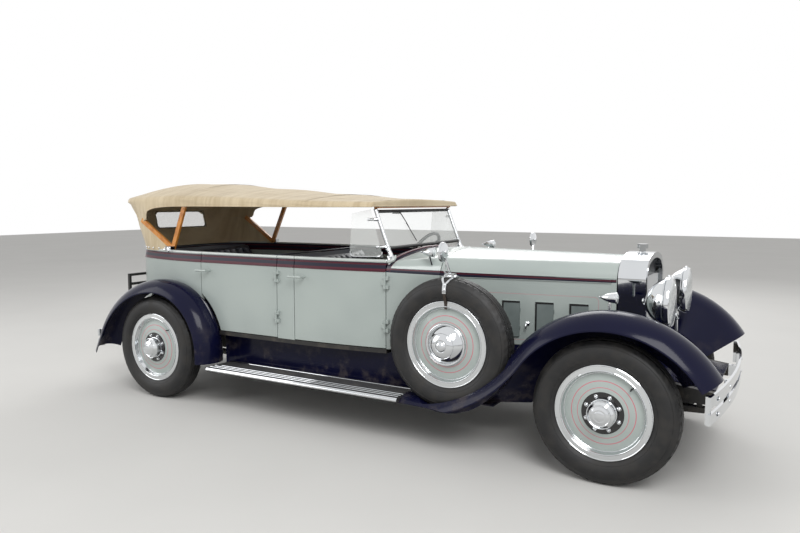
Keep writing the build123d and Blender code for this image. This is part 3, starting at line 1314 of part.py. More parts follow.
def top_bar(start, end):
    """A flat wooden slat between two points, its width seen from the side."""
    along = Vector(end) - Vector(start)
    sheet = Plane(origin=start, x_dir=(0, 1, 0), z_dir=along)
    return sheet * Pos(0, 0, along.length / 2) * Box(BOW_THICKNESS, BOW_WIDTH, along.length)


def top_bows():
    """Hoops and header under the canvas, and the slats down to the pivots on the body."""
    gap = CANVAS + SEAT_GAP
    band = roof_solid(gap) - roof_solid(gap + BOW_THICKNESS)
    pivot = (REAR_AXLE_X + BOW_PIVOT_AHEAD, BOW_PIVOT_Z)
    hoops = []
    for station in HOOP_STATIONS:
        x = REAR_AXLE_X + station
        hoops.append(band & block(x - BOW_WIDTH / 2, x + BOW_WIDTH / 2, -BOARD_OUTER_Y,
                                  BOARD_OUTER_Y, 0, SHELL_TOP_Z + TOP_EDGE_Z))
    header = block(x - BOW_WIDTH / 2, x + BOW_WIDTH / 2, -SHIELD_FOOT_Y, SHIELD_FOOT_Y, HEADER_Z,
                   2 * TOP_EDGE_Z)
    hoops.append(header & roof_solid(gap))
    hoops.append(header & block(x - BOW_WIDTH, x + BOW_WIDTH, -SHIELD_FOOT_Y, SHIELD_FOOT_Y,
                                HEADER_Z, TOP_EDGE_Z + gap))
    slats = []
    for station, z in (FRONT_BOW_TOP, REAR_BOW_TOP):
        for side in (-1, 1):
            slats.append(top_bar((pivot[0], side * BOW_Y, pivot[1]),
                                 (REAR_AXLE_X + station, side * BOW_TOP_Y, z)))
    save("top_bows", Part() + hoops + slats)


def shield_point(share, y):
    """A point up the windshield's plane, from its foot to its top."""
    foot_x, top_x = COWL_REAR_X - SHIELD_FOOT_BEHIND, COWL_REAR_X - SHIELD_TOP_BEHIND
    return (foot_x + (top_x - foot_x) * share, y,
            SHIELD_FOOT_Z + (SHIELD_TOP_Z - SHIELD_FOOT_Z) * share)


def windshield():
    """Posts, rails and wing clamps in one frame; the pane and two wing panes of glass."""
    cowl_room = loft([at_station(cowl_section(0, 0, FLOOR_Z), COWL_REAR_X),
                      at_station(hood_section(0, 0, FLOOR_Z), HOOD_REAR_X)], ruled=True)
    frame_solid = rod(shield_point(TOP_RAIL_SHARE, -SHIELD_FOOT_Y),
                      shield_point(TOP_RAIL_SHARE, SHIELD_FOOT_Y), RAIL_RADIUS)
    frame_solid += rod(shield_point(RAIL_SHARE, -SHIELD_FOOT_Y),
                       shield_point(RAIL_SHARE, SHIELD_FOOT_Y), RAIL_RADIUS)
    for side in (-1, 1):
        y = side * SHIELD_FOOT_Y
        frame_solid += rod(shield_point(POST_FOOT_SHARE, y), shield_point(1, y), POST_RADIUS)
        for share in WING_CLAMPS:
            x, _, z = shield_point(share, y)
            frame_solid += rod((x, y, z), (x - CLAMP_REACH, side * (WING_Y + POST_RADIUS), z),
                               CLAMP_RADIUS)
    frame_solid &= block(REAR_END_X, FRONT_END_X, -WING_Y, WING_Y, 0, TOP_EDGE_Z)
    frame_solid -= cowl_room
    save("windshield_frame", frame_solid)

    panes = []
    low, high = Vector(shield_point(RAIL_SHARE, 0)), Vector(shield_point(TOP_RAIL_SHARE, 0))
    sheet = Plane(origin=(low + high) / 2, x_dir=(0, 1, 0), z_dir=(high - low))
    width = 2 * (SHIELD_FOOT_Y - POST_RADIUS - SEAT_GAP)
    height = (high - low).length - 2 * (RAIL_RADIUS + SEAT_GAP)
    panes.append(sheet * Box(width, GLASS, height))
    wing = polygon(*[(COWL_REAR_X - behind, z) for behind, z in WING_OUTLINE])
    for side in (-1, 1):
        inner = side * (WING_Y + SEAT_GAP)
        panes.append(side_plate(wing, *sorted((inner, inner + side * GLASS))))
    save("glass_panes", *panes)


# Lamps, bumpers and fittings

def headlamps():
    """Bowls on posts with a tie bar, and their lenses."""
    x = FRONT_AXLE_X + HEADLAMP_AHEAD
    post_x = x - HEADLAMP_DEPTH * 0.45
    lamps = across(BAR_RADIUS, post_x, LAMP_BAR_Z, -HEADLAMP_Y, HEADLAMP_Y)
    lenses = []
    for side in (-1, 1):
        centre = (x, side * HEADLAMP_Y, HEADLAMP_Z)
        sheet = Plane(origin=centre, x_dir=(1, 0, 0), z_dir=(0, -1, 0))
        bowl = [
            Line((0, 0), (0, HEADLAMP_RADIUS)),
            Line((0, HEADLAMP_RADIUS), (-LAMP_RIM, HEADLAMP_RADIUS)),
            ThreePointArc((-LAMP_RIM, HEADLAMP_RADIUS),
                          (-HEADLAMP_DEPTH * 0.62, HEADLAMP_RADIUS * 0.72), (-HEADLAMP_DEPTH, 0)),
            Line((-HEADLAMP_DEPTH, 0), (0, 0)),
        ]
        lamps += revolve(sheet * make_face(bowl), axis=Axis(centre, (1, 0, 0)))
        lamps += rod((post_x, side * HEADLAMP_Y, HEADLAMP_Z), (post_x, side * HEADLAMP_Y, LAMP_BAR_Z),
                     POST_RADIUS * 1.4)
        lamps += rod((post_x, side * HEADLAMP_Y, LAMP_BAR_Z + POST_RADIUS),
                     (post_x, side * RAIL_FRONT_Y, RAIL_TOP_Z - RAIL_DEPTH / 2), POST_RADIUS)
        lenses.append(rod((x, *centre[1:]), (x + LENS, *centre[1:]), HEADLAMP_RADIUS - LENS))
    save("headlamps", clear_of_rails(lamps))
    save("lamp_lenses", *lenses)


def bullet(x, y, z, radius, length):
    """A small lamp body that tapers to the rear."""
    sheet = Plane(origin=(x, y, z), x_dir=(1, 0, 0), z_dir=(0, -1, 0))
    outline = [
        Line((0, 0), (length * 0.4, 0)), Line((length * 0.4, 0), (length * 0.4, radius)),
        ThreePointArc((length * 0.4, radius), (-length * 0.1, radius * 0.8), (-length * 0.6, 0)),
        Line((-length * 0.6, 0), (0, 0)),
    ]
    return revolve(sheet * make_face(outline), axis=Axis((x, y, z), (1, 0, 0)))


def small_lamps():
    """Fender lamps and cowl lamps on stalks, and the tail lamps on the rear rail ends."""
    cowl_room = loft([at_station(cowl_section(0, 0, FLOOR_Z), COWL_REAR_X),
                      at_station(hood_section(0, 0, FLOOR_Z), HOOD_REAR_X)], ruled=True)
    fender_room = front_sweep(front_section(WELL_DEPTH))
    lamps = []
    x = FRONT_AXLE_X + FENDER_LAMP_AHEAD
    stalk = rod((x, -FENDER_LAMP_Y, FENDER_LAMP_Z), (x, -FENDER_LAMP_Y, FENDER_LAMP_Z - 150),
                LAMP_STALK)
    lamps += pair((bullet(x, -FENDER_LAMP_Y, FENDER_LAMP_Z, SMALL_LAMP, SMALL_LAMP * 3.2)
                   + stalk) - fender_room)
    x = HOOD_REAR_X - COWL_LAMP_BEHIND
    stalk = rod((x, -COWL_LAMP_Y, COWL_LAMP_Z), (x, -COWL_LAMP_Y + 60, COWL_LAMP_Z - 110),
                LAMP_STALK)
    lamps += pair((bullet(x, -COWL_LAMP_Y, COWL_LAMP_Z, SMALL_LAMP, SMALL_LAMP * 3.2)
                   + stalk) - cowl_room)
    save("small_lamps", *lamps)

    x = REAR_END_X + RAIL_REAR_SHORT + TAIL_LAMP_AHEAD
    z = RAIL_TOP_Z - RAIL_KICK / 2 - RAIL_DEPTH / 4
    y = RAIL_REAR_Y + RAIL_WIDTH / 2
    tails = rod((x, -y, z), (x, -y - TAIL_LAMP_OUT, z), LAMP_STALK)
    tails += rod((x - TAIL_LAMP_LENGTH / 2, -y - TAIL_LAMP_OUT, z),
                 (x + TAIL_LAMP_LENGTH / 2, -y - TAIL_LAMP_OUT, z), TAIL_LAMP_RADIUS)
    save("tail_lamps", *pair(tails))


def bumper_bar(x_face, bow, half, z0, z1, way):
    """One bowed bumper bar; way points from the car's middle to the face."""
    def arc(back):
        return ThreePointArc((x_face - way * (bow + back), -half), (x_face - way * back, 0),
                             (x_face - way * (bow + back), half))
    outer, inner = arc(0), arc(BUMPER_THICKNESS)
    ends = [Line(outer @ 0, inner @ 0), Line(outer @ 1, inner @ 1)]
    return plan_plate([outer, inner] + ends, z0, z1)


def bumpers():
    """Twin bars front and rear, clamped together and held on the rail ends."""
    for name, x, bow, half, bars, way, arm_y, arm_end, arm_z in (
        ("bumper_front", FRONT_END_X, FRONT_BUMPER_BOW, BUMPER_HALF_WIDTH, FRONT_BARS, 1,
         RAIL_FRONT_Y, FRONT_END_X - HORN_SHORT, HORN_Z),
        ("bumper_rear", REAR_END_X, REAR_BUMPER_BOW, REAR_BUMPER_HALF_WIDTH, REAR_BARS, -1,
         RAIL_REAR_Y, REAR_END_X + RAIL_REAR_SHORT,
         RAIL_TOP_Z - RAIL_KICK / 2 - RAIL_DEPTH / 4),
    ):
        low, high = bars
        solid = bumper_bar(x, bow, half, low, low + BUMPER_BAR, way)
        solid += bumper_bar(x, bow, half, high, high + BUMPER_BAR, way)
        for y in (arm_y, half - CLAMP_IN):
            curve = x - way * (bow * (y / half) ** 2 + BUMPER_THICKNESS / 2)
            for side in (-1, 1):
                solid += block(curve - way * CLAMP_DEPTH, curve, side * y - CLAMP_WIDTH / 2,
                               side * y + CLAMP_WIDTH / 2, low, high + BUMPER_BAR)
        for side in (-1, 1):
            curve = x - way * (bow * (arm_y / half) ** 2 + BUMPER_THICKNESS)
            solid += block(arm_end, curve, side * arm_y - CLAMP_WIDTH / 2,
                           side * arm_y + CLAMP_WIDTH / 2, arm_z - RAIL_DEPTH / 4,
                           arm_z + RAIL_DEPTH / 4)
        save(name, solid)


def fittings():
    """Luggage rack, spare-wheel mirrors, top pivots and the front apron."""
    rack_x, low_z = BODY_REAR_X - RACK_BEHIND, RAIL_TOP_Z - RAIL_KICK / 2
    half = RACK_BAR / 2
    rack = Part()
    for side in (-1, 1):
        y, arm_y = side * RAIL_REAR_Y, side * RACK_ARM_Y
        rack += block(rack_x - half, rack_x + half, y - half, y + half, low_z, RACK_TOP_Z)
        rack += block(rack_x, BODY_REAR_X, arm_y - half, arm_y + half, RACK_TOP_Z - RACK_BAR,
                      RACK_TOP_Z)
    for number in range(RACK_SLATS):
        z = RACK_TOP_Z - half - number * RACK_PITCH
        rack += block(rack_x - half, rack_x + half, -RAIL_REAR_Y, RAIL_REAR_Y, z - half, z + half)
    save("luggage_rack", clear_of_rails(rack))

    x, y, z = SPARE_X, -SPARE_Y, SPARE_Z + TYRE_RADIUS
    mirror = block(x - CLAMP_WIDTH, x + CLAMP_WIDTH, y - CLAMP_WIDTH / 2, y + CLAMP_WIDTH / 2,
                   z - TREAD_CROWN, z + CLAMP_DEPTH)
    mirror -= across(TYRE_RADIUS + SEAT_GAP, x, SPARE_Z, y - CLAMP_WIDTH, y + CLAMP_WIDTH)
    top = (x - MIRROR_BACK, y - MIRROR_OUT, z + MIRROR_RISE)
    mirror += rod((x, y, z + CLAMP_DEPTH / 2), top, LAMP_STALK)
    mirror += rod((top[0] + 6, *top[1:]), (top[0] - 8, *top[1:]), MIRROR_RADIUS)
    save("mirrors", *pair(mirror))

    x = REAR_AXLE_X + BOW_PIVOT_AHEAD
    inner_y = BOW_Y + BOW_THICKNESS / 2 + SEAT_GAP * 3
    iron = block(x - PIVOT_PLATE / 2, x + PIVOT_PLATE / 2, -PIVOT_Y, -inner_y, BELT_TOP_Z,
                 BOW_PIVOT_Z + PIVOT_PLATE / 3)
    save("top_pivots", *pair(iron))

    half = RAIL_FRONT_Y - RAIL_WIDTH / 2
    nose = polygon((SHELL_FRONT_X, SHELL_FOOT_Z), (FRONT_END_X - HORN_SHORT, HORN_Z + RAIL_DEPTH / 4),
                   (FRONT_END_X - HORN_SHORT, HORN_Z + RAIL_DEPTH / 4 + APRON_SHEET),
                   (SHELL_FRONT_X, SHELL_FOOT_Z + APRON_SHEET))
    save("front_apron", side_plate(nose, -half, half))


def main():
    body()
    floor()
    cowl()
    steering_wheel()
    hood()
    radiator()
    fenders_front()
    fenders_rear()
    running_boards()
    splash_aprons()
    frame()
    running_gear()
    road_wheels()
    knuckles()
    spares()
    seats()
    canvas_top()
    top_bows()
    windshield()
    headlamps()
    small_lamps()
    bumpers()
    fittings()


main()
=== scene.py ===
import json
import math

import bmesh
import bpy
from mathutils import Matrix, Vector, noise


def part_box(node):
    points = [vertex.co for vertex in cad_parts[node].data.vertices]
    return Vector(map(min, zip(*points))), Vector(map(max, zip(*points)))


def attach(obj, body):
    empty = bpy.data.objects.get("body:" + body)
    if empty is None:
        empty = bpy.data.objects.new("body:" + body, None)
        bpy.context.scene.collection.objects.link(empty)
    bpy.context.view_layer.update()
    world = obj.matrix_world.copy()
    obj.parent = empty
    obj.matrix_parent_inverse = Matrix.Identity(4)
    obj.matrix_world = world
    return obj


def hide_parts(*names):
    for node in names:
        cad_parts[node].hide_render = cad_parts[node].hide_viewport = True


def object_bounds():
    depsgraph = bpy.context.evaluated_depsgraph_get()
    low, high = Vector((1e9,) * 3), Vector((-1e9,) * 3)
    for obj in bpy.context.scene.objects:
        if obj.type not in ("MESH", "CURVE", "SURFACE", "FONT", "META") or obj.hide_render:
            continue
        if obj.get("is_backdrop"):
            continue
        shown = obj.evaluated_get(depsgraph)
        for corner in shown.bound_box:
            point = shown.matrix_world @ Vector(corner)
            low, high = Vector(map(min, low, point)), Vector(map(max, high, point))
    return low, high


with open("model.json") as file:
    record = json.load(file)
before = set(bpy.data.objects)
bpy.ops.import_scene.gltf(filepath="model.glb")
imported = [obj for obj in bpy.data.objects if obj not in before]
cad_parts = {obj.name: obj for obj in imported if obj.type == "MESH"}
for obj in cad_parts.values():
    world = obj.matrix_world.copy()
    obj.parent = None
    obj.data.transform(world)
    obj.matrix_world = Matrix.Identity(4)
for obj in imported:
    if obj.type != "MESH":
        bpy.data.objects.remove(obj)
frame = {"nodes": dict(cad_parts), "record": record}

bl_info = {
    "name": "Touring Car",
    "version": (1, 0, 0),
    "blender": (4, 5, 0),
    "location": "3D View > Sidebar > Touring Car",
    "description": "Dresses the touring car's frame in paint, canvas, leather and bright trim",
    "category": "Object",
}

CAD_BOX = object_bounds()
CHASSIS = "chassis"
SIDES = (("right", -1), ("left", 1))

# Stations, heights and half widths that the frame's solids share, in metres
REAR_AXLE_X = -1.670
FRONT_AXLE_X = 1.899
AXLE_Z = 0.413
TYRE_RADIUS = 0.413
AXLES = {"front": (FRONT_AXLE_X, 0.740), "rear": (REAR_AXLE_X, 0.760)}
SPARE_CENTRE = (0.937, 0.755, 0.702)
COWL_REAR_X = 0.405
HOOD_REAR_X = 0.720
SHELL_REAR_X = 1.850
HOOD_ROD_Z = 1.2485
PILLAR_FRONT_X = -0.335
PILLAR_REAR_X = -0.488
REAR_DOOR_REAR_X = -1.252
DOOR_GAP = 0.006
DASH_FACE_X = 0.424
BOARD_Z = 0.330
BELT_Z = 1.112
BELT_TOP_Z = 1.180
BELT_LEAN = 0.0096
PILLAR_HALF_WIDTH = 0.706
BODY_HALF_WIDTH = 0.710

# The body's plan draws in ahead of the pillar and behind the doors: length and depth of each curve
FRONT_CURVE = (0.740, 0.061)
TAIL_CURVE = (0.748, 0.124)
TAIL_CORNER = (-1.9095, 0.3205)
TAIL_CORNER_RADIUS = 0.2805
TAIL_END_X = -2.190

# Radii on a wheel's disc
RING_RADII = (0.178, 0.142)
COVER_RADIUS = 0.1315
FLANGE_RADIUS = 0.1185
HUB_RADIUS = 0.0775
BOLT_CIRCLE = 0.098
RIM_INNER_RADIUS = 0.2225


def srgb(red, green, blue):
    """A colour written in screen values of 0 to 255, as the shader wants it."""
    def linear(value):
        value /= 255
        return value / 12.92 if value <= 0.04045 else ((value + 0.055) / 1.055) ** 2.4
    return (linear(red), linear(green), linear(blue), 1.0)


# Shader building

class Signal:
    """A socket's value that takes part in Python expressions through Math nodes."""

    def __init__(self, shader, socket):
        self.shader = shader
        self.socket = socket

    def math(self, operation, first, second=0.0):
        return self.shader.node("ShaderNodeMath", {"operation": operation},
                                {0: first, 1: second})

    def __add__(self, other):
        return self.math("ADD", self, other)

    def __radd__(self, other):
        return self.math("ADD", other, self)

    def __sub__(self, other):
        return self.math("SUBTRACT", self, other)

    def __rsub__(self, other):
        return self.math("SUBTRACT", other, self)

    def __mul__(self, other):
        return self.math("MULTIPLY", self, other)

    def __rmul__(self, other):
        return self.math("MULTIPLY", other, self)

    def __truediv__(self, other):
        return self.math("DIVIDE", self, other)

    def __pow__(self, other):
        return self.math("POWER", self, other)

    def __gt__(self, other):
        return self.math("GREATER_THAN", self, other)

    def __lt__(self, other):
        return self.math("LESS_THAN", self, other)

    def __abs__(self):
        return self.math("ABSOLUTE", self)

    def sine(self):
        return self.math("SINE", self)

    def at_least(self, other):
        return self.math("MAXIMUM", self, other)


class Shader:
    """A material or world under construction: one method adds any node to its tree."""

    def __init__(self, owner):
        self.owner = owner
        owner.use_nodes = True
        self.tree = owner.node_tree
        self.tree.nodes.clear()

    def node(self, kind, settings=None, inputs=None, output=0):
        node = self.tree.nodes.new(kind)
        settings = dict(settings or {})
        stops = settings.pop("stops", None)
        for key, value in settings.items():
            setattr(node, key, value)
        if stops:
            ramp = node.color_ramp
            while len(ramp.elements) < len(stops):
                ramp.elements.new(0.5)
            for element, (position, colour) in zip(ramp.elements, stops):
                element.position = position
                element.color = colour
        for key, value in (inputs or {}).items():
            if isinstance(value, Signal):
                self.tree.links.new(value.socket, node.inputs[key])
            else:
                node.inputs[key].default_value = value
        return Signal(self, node.outputs[output]) if node.outputs else None

    def place(self):
        """The point on the object, as x, y and z in the car's frame."""
        self.point = self.node("ShaderNodeTexCoord", output="Object")
        return [self.node("ShaderNodeSeparateXYZ", None, {0: self.point}, axis)
                for axis in range(3)]

    def grain(self, scale, detail=3.0, roughness=0.6, stretch=(1, 1, 1)):
        """Noise between about 0.3 and 0.7, stretched along the frame's axes."""
        at = self.node("ShaderNodeMapping", None, {"Vector": self.point, "Scale": stretch})
        return self.node("ShaderNodeTexNoise", None,
                         {"Vector": at, "Scale": scale, "Detail": detail, "Roughness": roughness})

    def mix(self, factor, first, second):
        """The first colour where the factor is 0 and the second where it is 1."""
        return self.node("ShaderNodeMix", {"data_type": "RGBA"},
                         {0: factor, 6: first, 7: second}, 2)

    def ramp(self, factor, *stops):
        return self.node("ShaderNodeValToRGB", {"stops": stops}, {0: factor})

    def soft_step(self, value, low, high):
        """Rises smoothly from 0 to 1 as the value goes from low to high."""
        return self.node("ShaderNodeMapRange", {"interpolation_type": "SMOOTHSTEP"},
                         {"Value": value, "From Min": low, "From Max": high})

    def band(self, value, centre, half):
        """1 inside a band about a value and 0 outside it."""
        return abs(value - centre) < half

    def bump(self, height, distance, strength=1.0):
        return self.node("ShaderNodeBump", None,
                         {"Height": height, "Distance": distance, "Strength": strength})

    def surface(self, **inputs):
        """Ends the material in one principled shader."""
        named = {key.replace("_", " ").title().replace("Ior", "IOR"): value
                 for key, value in inputs.items()}
        shader = self.node("ShaderNodeBsdfPrincipled", None, named)
        self.node("ShaderNodeOutputMaterial", None, {"Surface": shader})
        return self.owner


MATERIALS = {}


def finish_of(name, build):
    """One material under a name, built when it is first asked for."""
    if name not in MATERIALS:
        MATERIALS[name] = build(Shader(bpy.data.materials.new(name)))
    return MATERIALS[name]


def paint_settings():
    return bpy.context.scene.touring_paint


def trim_settings():
    return bpy.context.scene.touring_trim


def camera_settings():
    return bpy.context.scene.touring_view


def either(first, second):
    """1 where either of two masks is 1."""
    return first.at_least(second)


def dusty(shader, colour, z, amount=0.35):
    """Paint that is a little dusty towards the ground."""
    low = 1 - shader.soft_step(z, 0.25, 0.75)
    dust = low * shader.soft_step(shader.grain(9, 5), 0.45, 0.75) * amount
    return shader.mix(dust, colour, srgb(122, 112, 98)), dust


def mottled(shader, scale, detail, first, second):
    """A colour clouded between two tones."""
    shader.place()
    return shader.mix(shader.grain(scale, detail), first, second)


# The dark strip along cowl and hood: where its slopes start and where it ends, then the height
# and fall of its upper edge, of that edge further ahead, and of its lower edge
STRIP_START_X = 0.47
STRIP_BEND_X = 1.0
STRIP_END_X = 1.842
STRIP_TOP = (1.134, 0.055)
STRIP_BEND = (1.113, 0.010)
STRIP_LOW = (1.105, 0.065)
STRIP_LEAST_Z = 1.0855
# The striped frame on the hood's side: its middle, and its half size inside the round corners
FRAME_MIDDLE = (1.272, 0.842)
FRAME_HALF = (0.442, 0.121)
FRAME_CORNER = 0.028


def sloping(x, start, line):
    """Height of a sloping paint line at a station."""
    height, fall = line
    return height - fall * (x - start)


def body_paint(shader):
    """Pale coachwork with a dark belt, striping lines and a striped frame on the hood."""
    x, y, z = shader.place()
    paint = paint_settings()
    pale = shader.mix(shader.soft_step(shader.grain(1.4, 2), 0.3, 0.7), tuple(paint.body),
                      tuple(paint.body_shade))
    above, ahead = z > BELT_Z, x > COWL_REAR_X
    behind_cowl = x < COWL_REAR_X + 0.012
    sweep = COWL_REAR_X + 0.02 + 0.055 * ((z - BELT_Z) / 0.13) ** 2.0
    top_line = sloping(x, STRIP_START_X, STRIP_TOP).at_least(sloping(x, STRIP_BEND_X, STRIP_BEND))
    low_line = sloping(x, STRIP_START_X, STRIP_LOW).at_least(STRIP_LEAST_Z)
    on_nose = ahead * (x < STRIP_END_X)
    nose = (z < top_line) * (z > low_line) * on_nose
    belt = either(either(above * behind_cowl, (x < sweep) * ahead * above), nose)
    colour = shader.mix(belt, pale, tuple(paint.belt))
    line = paint.stripe_width / 2
    body_lines = either(shader.band(z, BELT_Z + 0.013, line * 3),
                        shader.band(z, BELT_TOP_Z - 0.019, line * 3))
    nose_lines = (z < top_line - 0.003) * (z > top_line - 0.012) * on_nose
    sweep_line = shader.band(x, sweep, line * 1.3) * above * ahead
    stripes = either(either(body_lines * behind_cowl, nose_lines), sweep_line)
    past_x = (abs(x - FRAME_MIDDLE[0]) - FRAME_HALF[0]).at_least(0.0)
    past_z = (abs(z - FRAME_MIDDLE[1]) - FRAME_HALF[1]).at_least(0.0)
    past = shader.node("ShaderNodeCombineXYZ", None, {0: past_x, 1: past_z, 2: 0.0})
    away = shader.node("ShaderNodeVectorMath", {"operation": "LENGTH"}, {0: past}, 1)
    frame_line = shader.band(away, FRAME_CORNER, 0.0016) * (x > HOOD_REAR_X) * (abs(y) > 0.2)
    colour = shader.mix(stripes, colour, shader.mix(0.35, tuple(paint.stripe), tuple(paint.belt)))
    colour = shader.mix(frame_line, colour, srgb(186, 146, 150))
    dark = either(stripes, belt)
    colour, dust = dusty(shader, colour, z, 0.25)
    return shader.surface(
        base_color=colour, roughness=0.26 + dust * 0.8 + 0.05 * shader.grain(22, 3) + 0.1 * dark,
        specular_ior_level=0.35, coat_weight=0.45 - 0.4 * dark, coat_roughness=0.06,
        normal=shader.bump(shader.grain(260, 2), 0.0002, 0.25))


def fender_paint(shader):
    """Deep, glossy dark blue enamel."""
    z = shader.place()[2]
    paint = paint_settings()
    colour = shader.mix(shader.grain(2.0, 2), tuple(paint.fender), tuple(paint.fender_shade))
    colour, dust = dusty(shader, colour, z, 0.3)
    return shader.surface(
        base_color=colour, roughness=0.15 + dust * 0.9 + 0.05 * shader.grain(14, 4),
        specular_ior_level=0.14, coat_weight=0.08, coat_roughness=0.04,
        normal=shader.bump(shader.grain(180, 2), 0.0002, 0.2))


def chassis_paint(shader):
    """Brushed-on black for frame, axles and springs, with road dust on it."""
    z = shader.place()[2]
    colour = shader.mix(shader.grain(6, 4), srgb(20, 20, 21), srgb(38, 36, 35))
    colour, dust = dusty(shader, colour, z, 0.7)
    return shader.surface(base_color=colour, roughness=0.42 + dust * 0.4,
                          normal=shader.bump(shader.grain(70, 4), 0.0008, 0.4))


def chrome(shader):
    """Bright plate with faint polishing haze."""
    shader.place()
    haze = shader.grain(30, 4)
    colour = shader.mix(shader.grain(3, 2), srgb(226, 228, 230), srgb(202, 205, 208))
    return shader.surface(base_color=colour, metallic=1.0,
                          roughness=0.035 + 0.09 * shader.soft_step(haze, 0.45, 0.75))


def satin_metal(shader):
    """Grey cast and drawn metal."""
    shader.place()
    colour = shader.mix(shader.grain(12, 5), srgb(105, 105, 104), srgb(140, 139, 136))
    return shader.surface(base_color=colour, metallic=0.75,
                          roughness=0.4 + 0.2 * shader.grain(40, 3),
                          normal=shader.bump(shader.grain(120, 3), 0.0004, 0.5))


def tyre_rubber(shader):
    """Black tread and sidewall rubber, greyed by dust."""
    shader.place()
    worn = shader.soft_step(shader.grain(11, 5), 0.4, 0.7)
    colour = shader.mix(worn, srgb(19, 19, 20), srgb(38, 36, 34))
    return shader.surface(base_color=colour, roughness=0.5 + 0.18 * worn,
                          normal=shader.bump(shader.grain(190, 4), 0.0006, 0.5))


def mat_rubber(shader):
    """Dull black sheet rubber."""
    shader.place()
    worn = shader.soft_step(shader.grain(7, 5), 0.42, 0.75)
    colour = shader.mix(worn, srgb(34, 34, 36), srgb(70, 68, 66))
    return shader.surface(base_color=colour, roughness=0.6 + 0.15 * worn,
                          normal=shader.bump(shader.grain(90, 4), 0.0006, 0.5))


# Width of one thread in the top's weave
THREAD = 0.0011


def canvas_cloth(shader):
    """Tan top cloth with its weave, faint streaks and old stains."""
    x, y, z = shader.place()
    trim = trim_settings()
    turns = 1 / THREAD * math.pi
    weave = abs((x * turns).sine()) * 0.5 + abs(((y + z) * turns).sine()) * 0.5
    streak = shader.grain(3, 4, 0.65, (6, 0.8, 0.8))
    tone = shader.mix(shader.soft_step(streak, 0.3, 0.72), tuple(trim.canvas),
                      tuple(trim.canvas_shade))
    stain = shader.soft_step(shader.grain(1.3, 4), 0.56, 0.8) * 0.3
    colour = shader.mix(stain, tone, srgb(120, 102, 78))
    return shader.surface(base_color=colour, roughness=0.82, sheen_weight=0.25,
                          sheen_roughness=0.5, normal=shader.bump(weave, 0.00035, 0.5))


def varnished_wood(shader):
    """Honey-coloured ash under varnish, its grain along each slat."""
    shader.place()
    long = shader.grain(16, 6, 0.65, (1.0, 6, 1.0))
    fine = shader.grain(90, 3, 0.6, (0.5, 4, 0.5))
    colour = shader.ramp(long * 0.75 + fine * 0.25, (0.3, srgb(142, 82, 30)),
                         (0.5, srgb(196, 126, 52)), (0.7, srgb(224, 160, 80)))
    return shader.surface(base_color=colour, roughness=0.3, coat_weight=0.5, coat_roughness=0.08,
                          normal=shader.bump(fine, 0.0004, 0.4))


def seat_leather(shader):
    """Dark blue-black hide with fine grain and paler worn crowns."""
    shader.place()
    trim = trim_settings()
    cells = shader.node("ShaderNodeTexVoronoi", None, {"Vector": shader.point, "Scale": 420.0})
    tone = shader.soft_step(shader.grain(5, 4), 0.35, 0.7)
    colour = shader.mix(tone, tuple(trim.leather), tuple(trim.leather_shade))
    return shader.surface(base_color=colour, roughness=0.4 + 0.12 * tone,
                          normal=shader.bump(cells, 0.0005, 0.35))


def window_glass(shader):
    """Clear flat glass."""
    return shader.surface(base_color=(0.93, 0.97, 0.95, 1), roughness=0.02, transmission_weight=0.0,
                          alpha=0.16, ior=1.5)


def lens_glass(shader):
    """Ribbed headlamp glass over the bright bowl."""
    y = shader.place()[1]
    ribs = (y * 420.0).sine()
    colour = shader.mix(shader.soft_step(ribs, -0.6, 0.8), srgb(205, 212, 214), srgb(240, 244, 245))
    return shader.surface(base_color=colour, metallic=0.55, roughness=0.08, coat_weight=0.8,
                          normal=shader.bump(ribs, 0.0015, 0.6))


def red_lens(shader):
    """Moulded red tail-lamp glass."""
    z = shader.place()[2]
    rings = (z * 700.0).sine()
    colour = shader.mix(shader.soft_step(rings, -1, 1), srgb(150, 8, 6), srgb(196, 22, 14))
    return shader.surface(base_color=colour, roughness=0.12, coat_weight=1.0)


def wheel_paint(shader, centre, spare=False):
    """A wheel's finishes by distance from its axle: rim, painted disc with rings, hub."""
    x, y, z = shader.place()
    paint = paint_settings()
    across = ((x - centre[0]) ** 2.0 + (z - centre[2]) ** 2.0) ** 0.5
    out = abs(y) - centre[1]
    colour = shader.mix(shader.grain(4, 3), tuple(paint.body), tuple(paint.body_shade))
    rings = either(shader.band(across, RING_RADII[0], 0.0022),
                   shader.band(across, RING_RADII[1], 0.0016))
    colour = shader.mix(rings, colour, srgb(196, 104, 118))
    if spare:
        bright = across < COVER_RADIUS
    else:
        flange = (across < FLANGE_RADIUS) * (out > 0.02)
        colour = shader.mix(flange, colour, srgb(14, 14, 16))
        hub = (across < HUB_RADIUS) * (out > 0.05)
        bright = either(hub, shader.band(across, BOLT_CIRCLE, 0.0105) * (out > 0.0625))
    metal = either(bright, across > RIM_INNER_RADIUS)
    colour = shader.mix(metal, colour, srgb(214, 217, 219))
    colour = shader.mix(out < -0.02, colour, srgb(60, 60, 60))
    return shader.surface(base_color=colour, metallic=metal,
                          roughness=0.24 - 0.16 * metal + 0.05 * shader.grain(20, 3),
                          coat_weight=0.5 - 0.5 * metal, coat_roughness=0.05)


def shutter_metal(shader):
    """Radiator shutters: plated blades before a dark core."""
    x = shader.place()[0]
    front = shader.soft_step(x, 1.958, 1.966)
    colour = shader.mix(front, srgb(24, 24, 24), srgb(196, 198, 200))
    return shader.surface(base_color=colour, metallic=front, roughness=0.28)


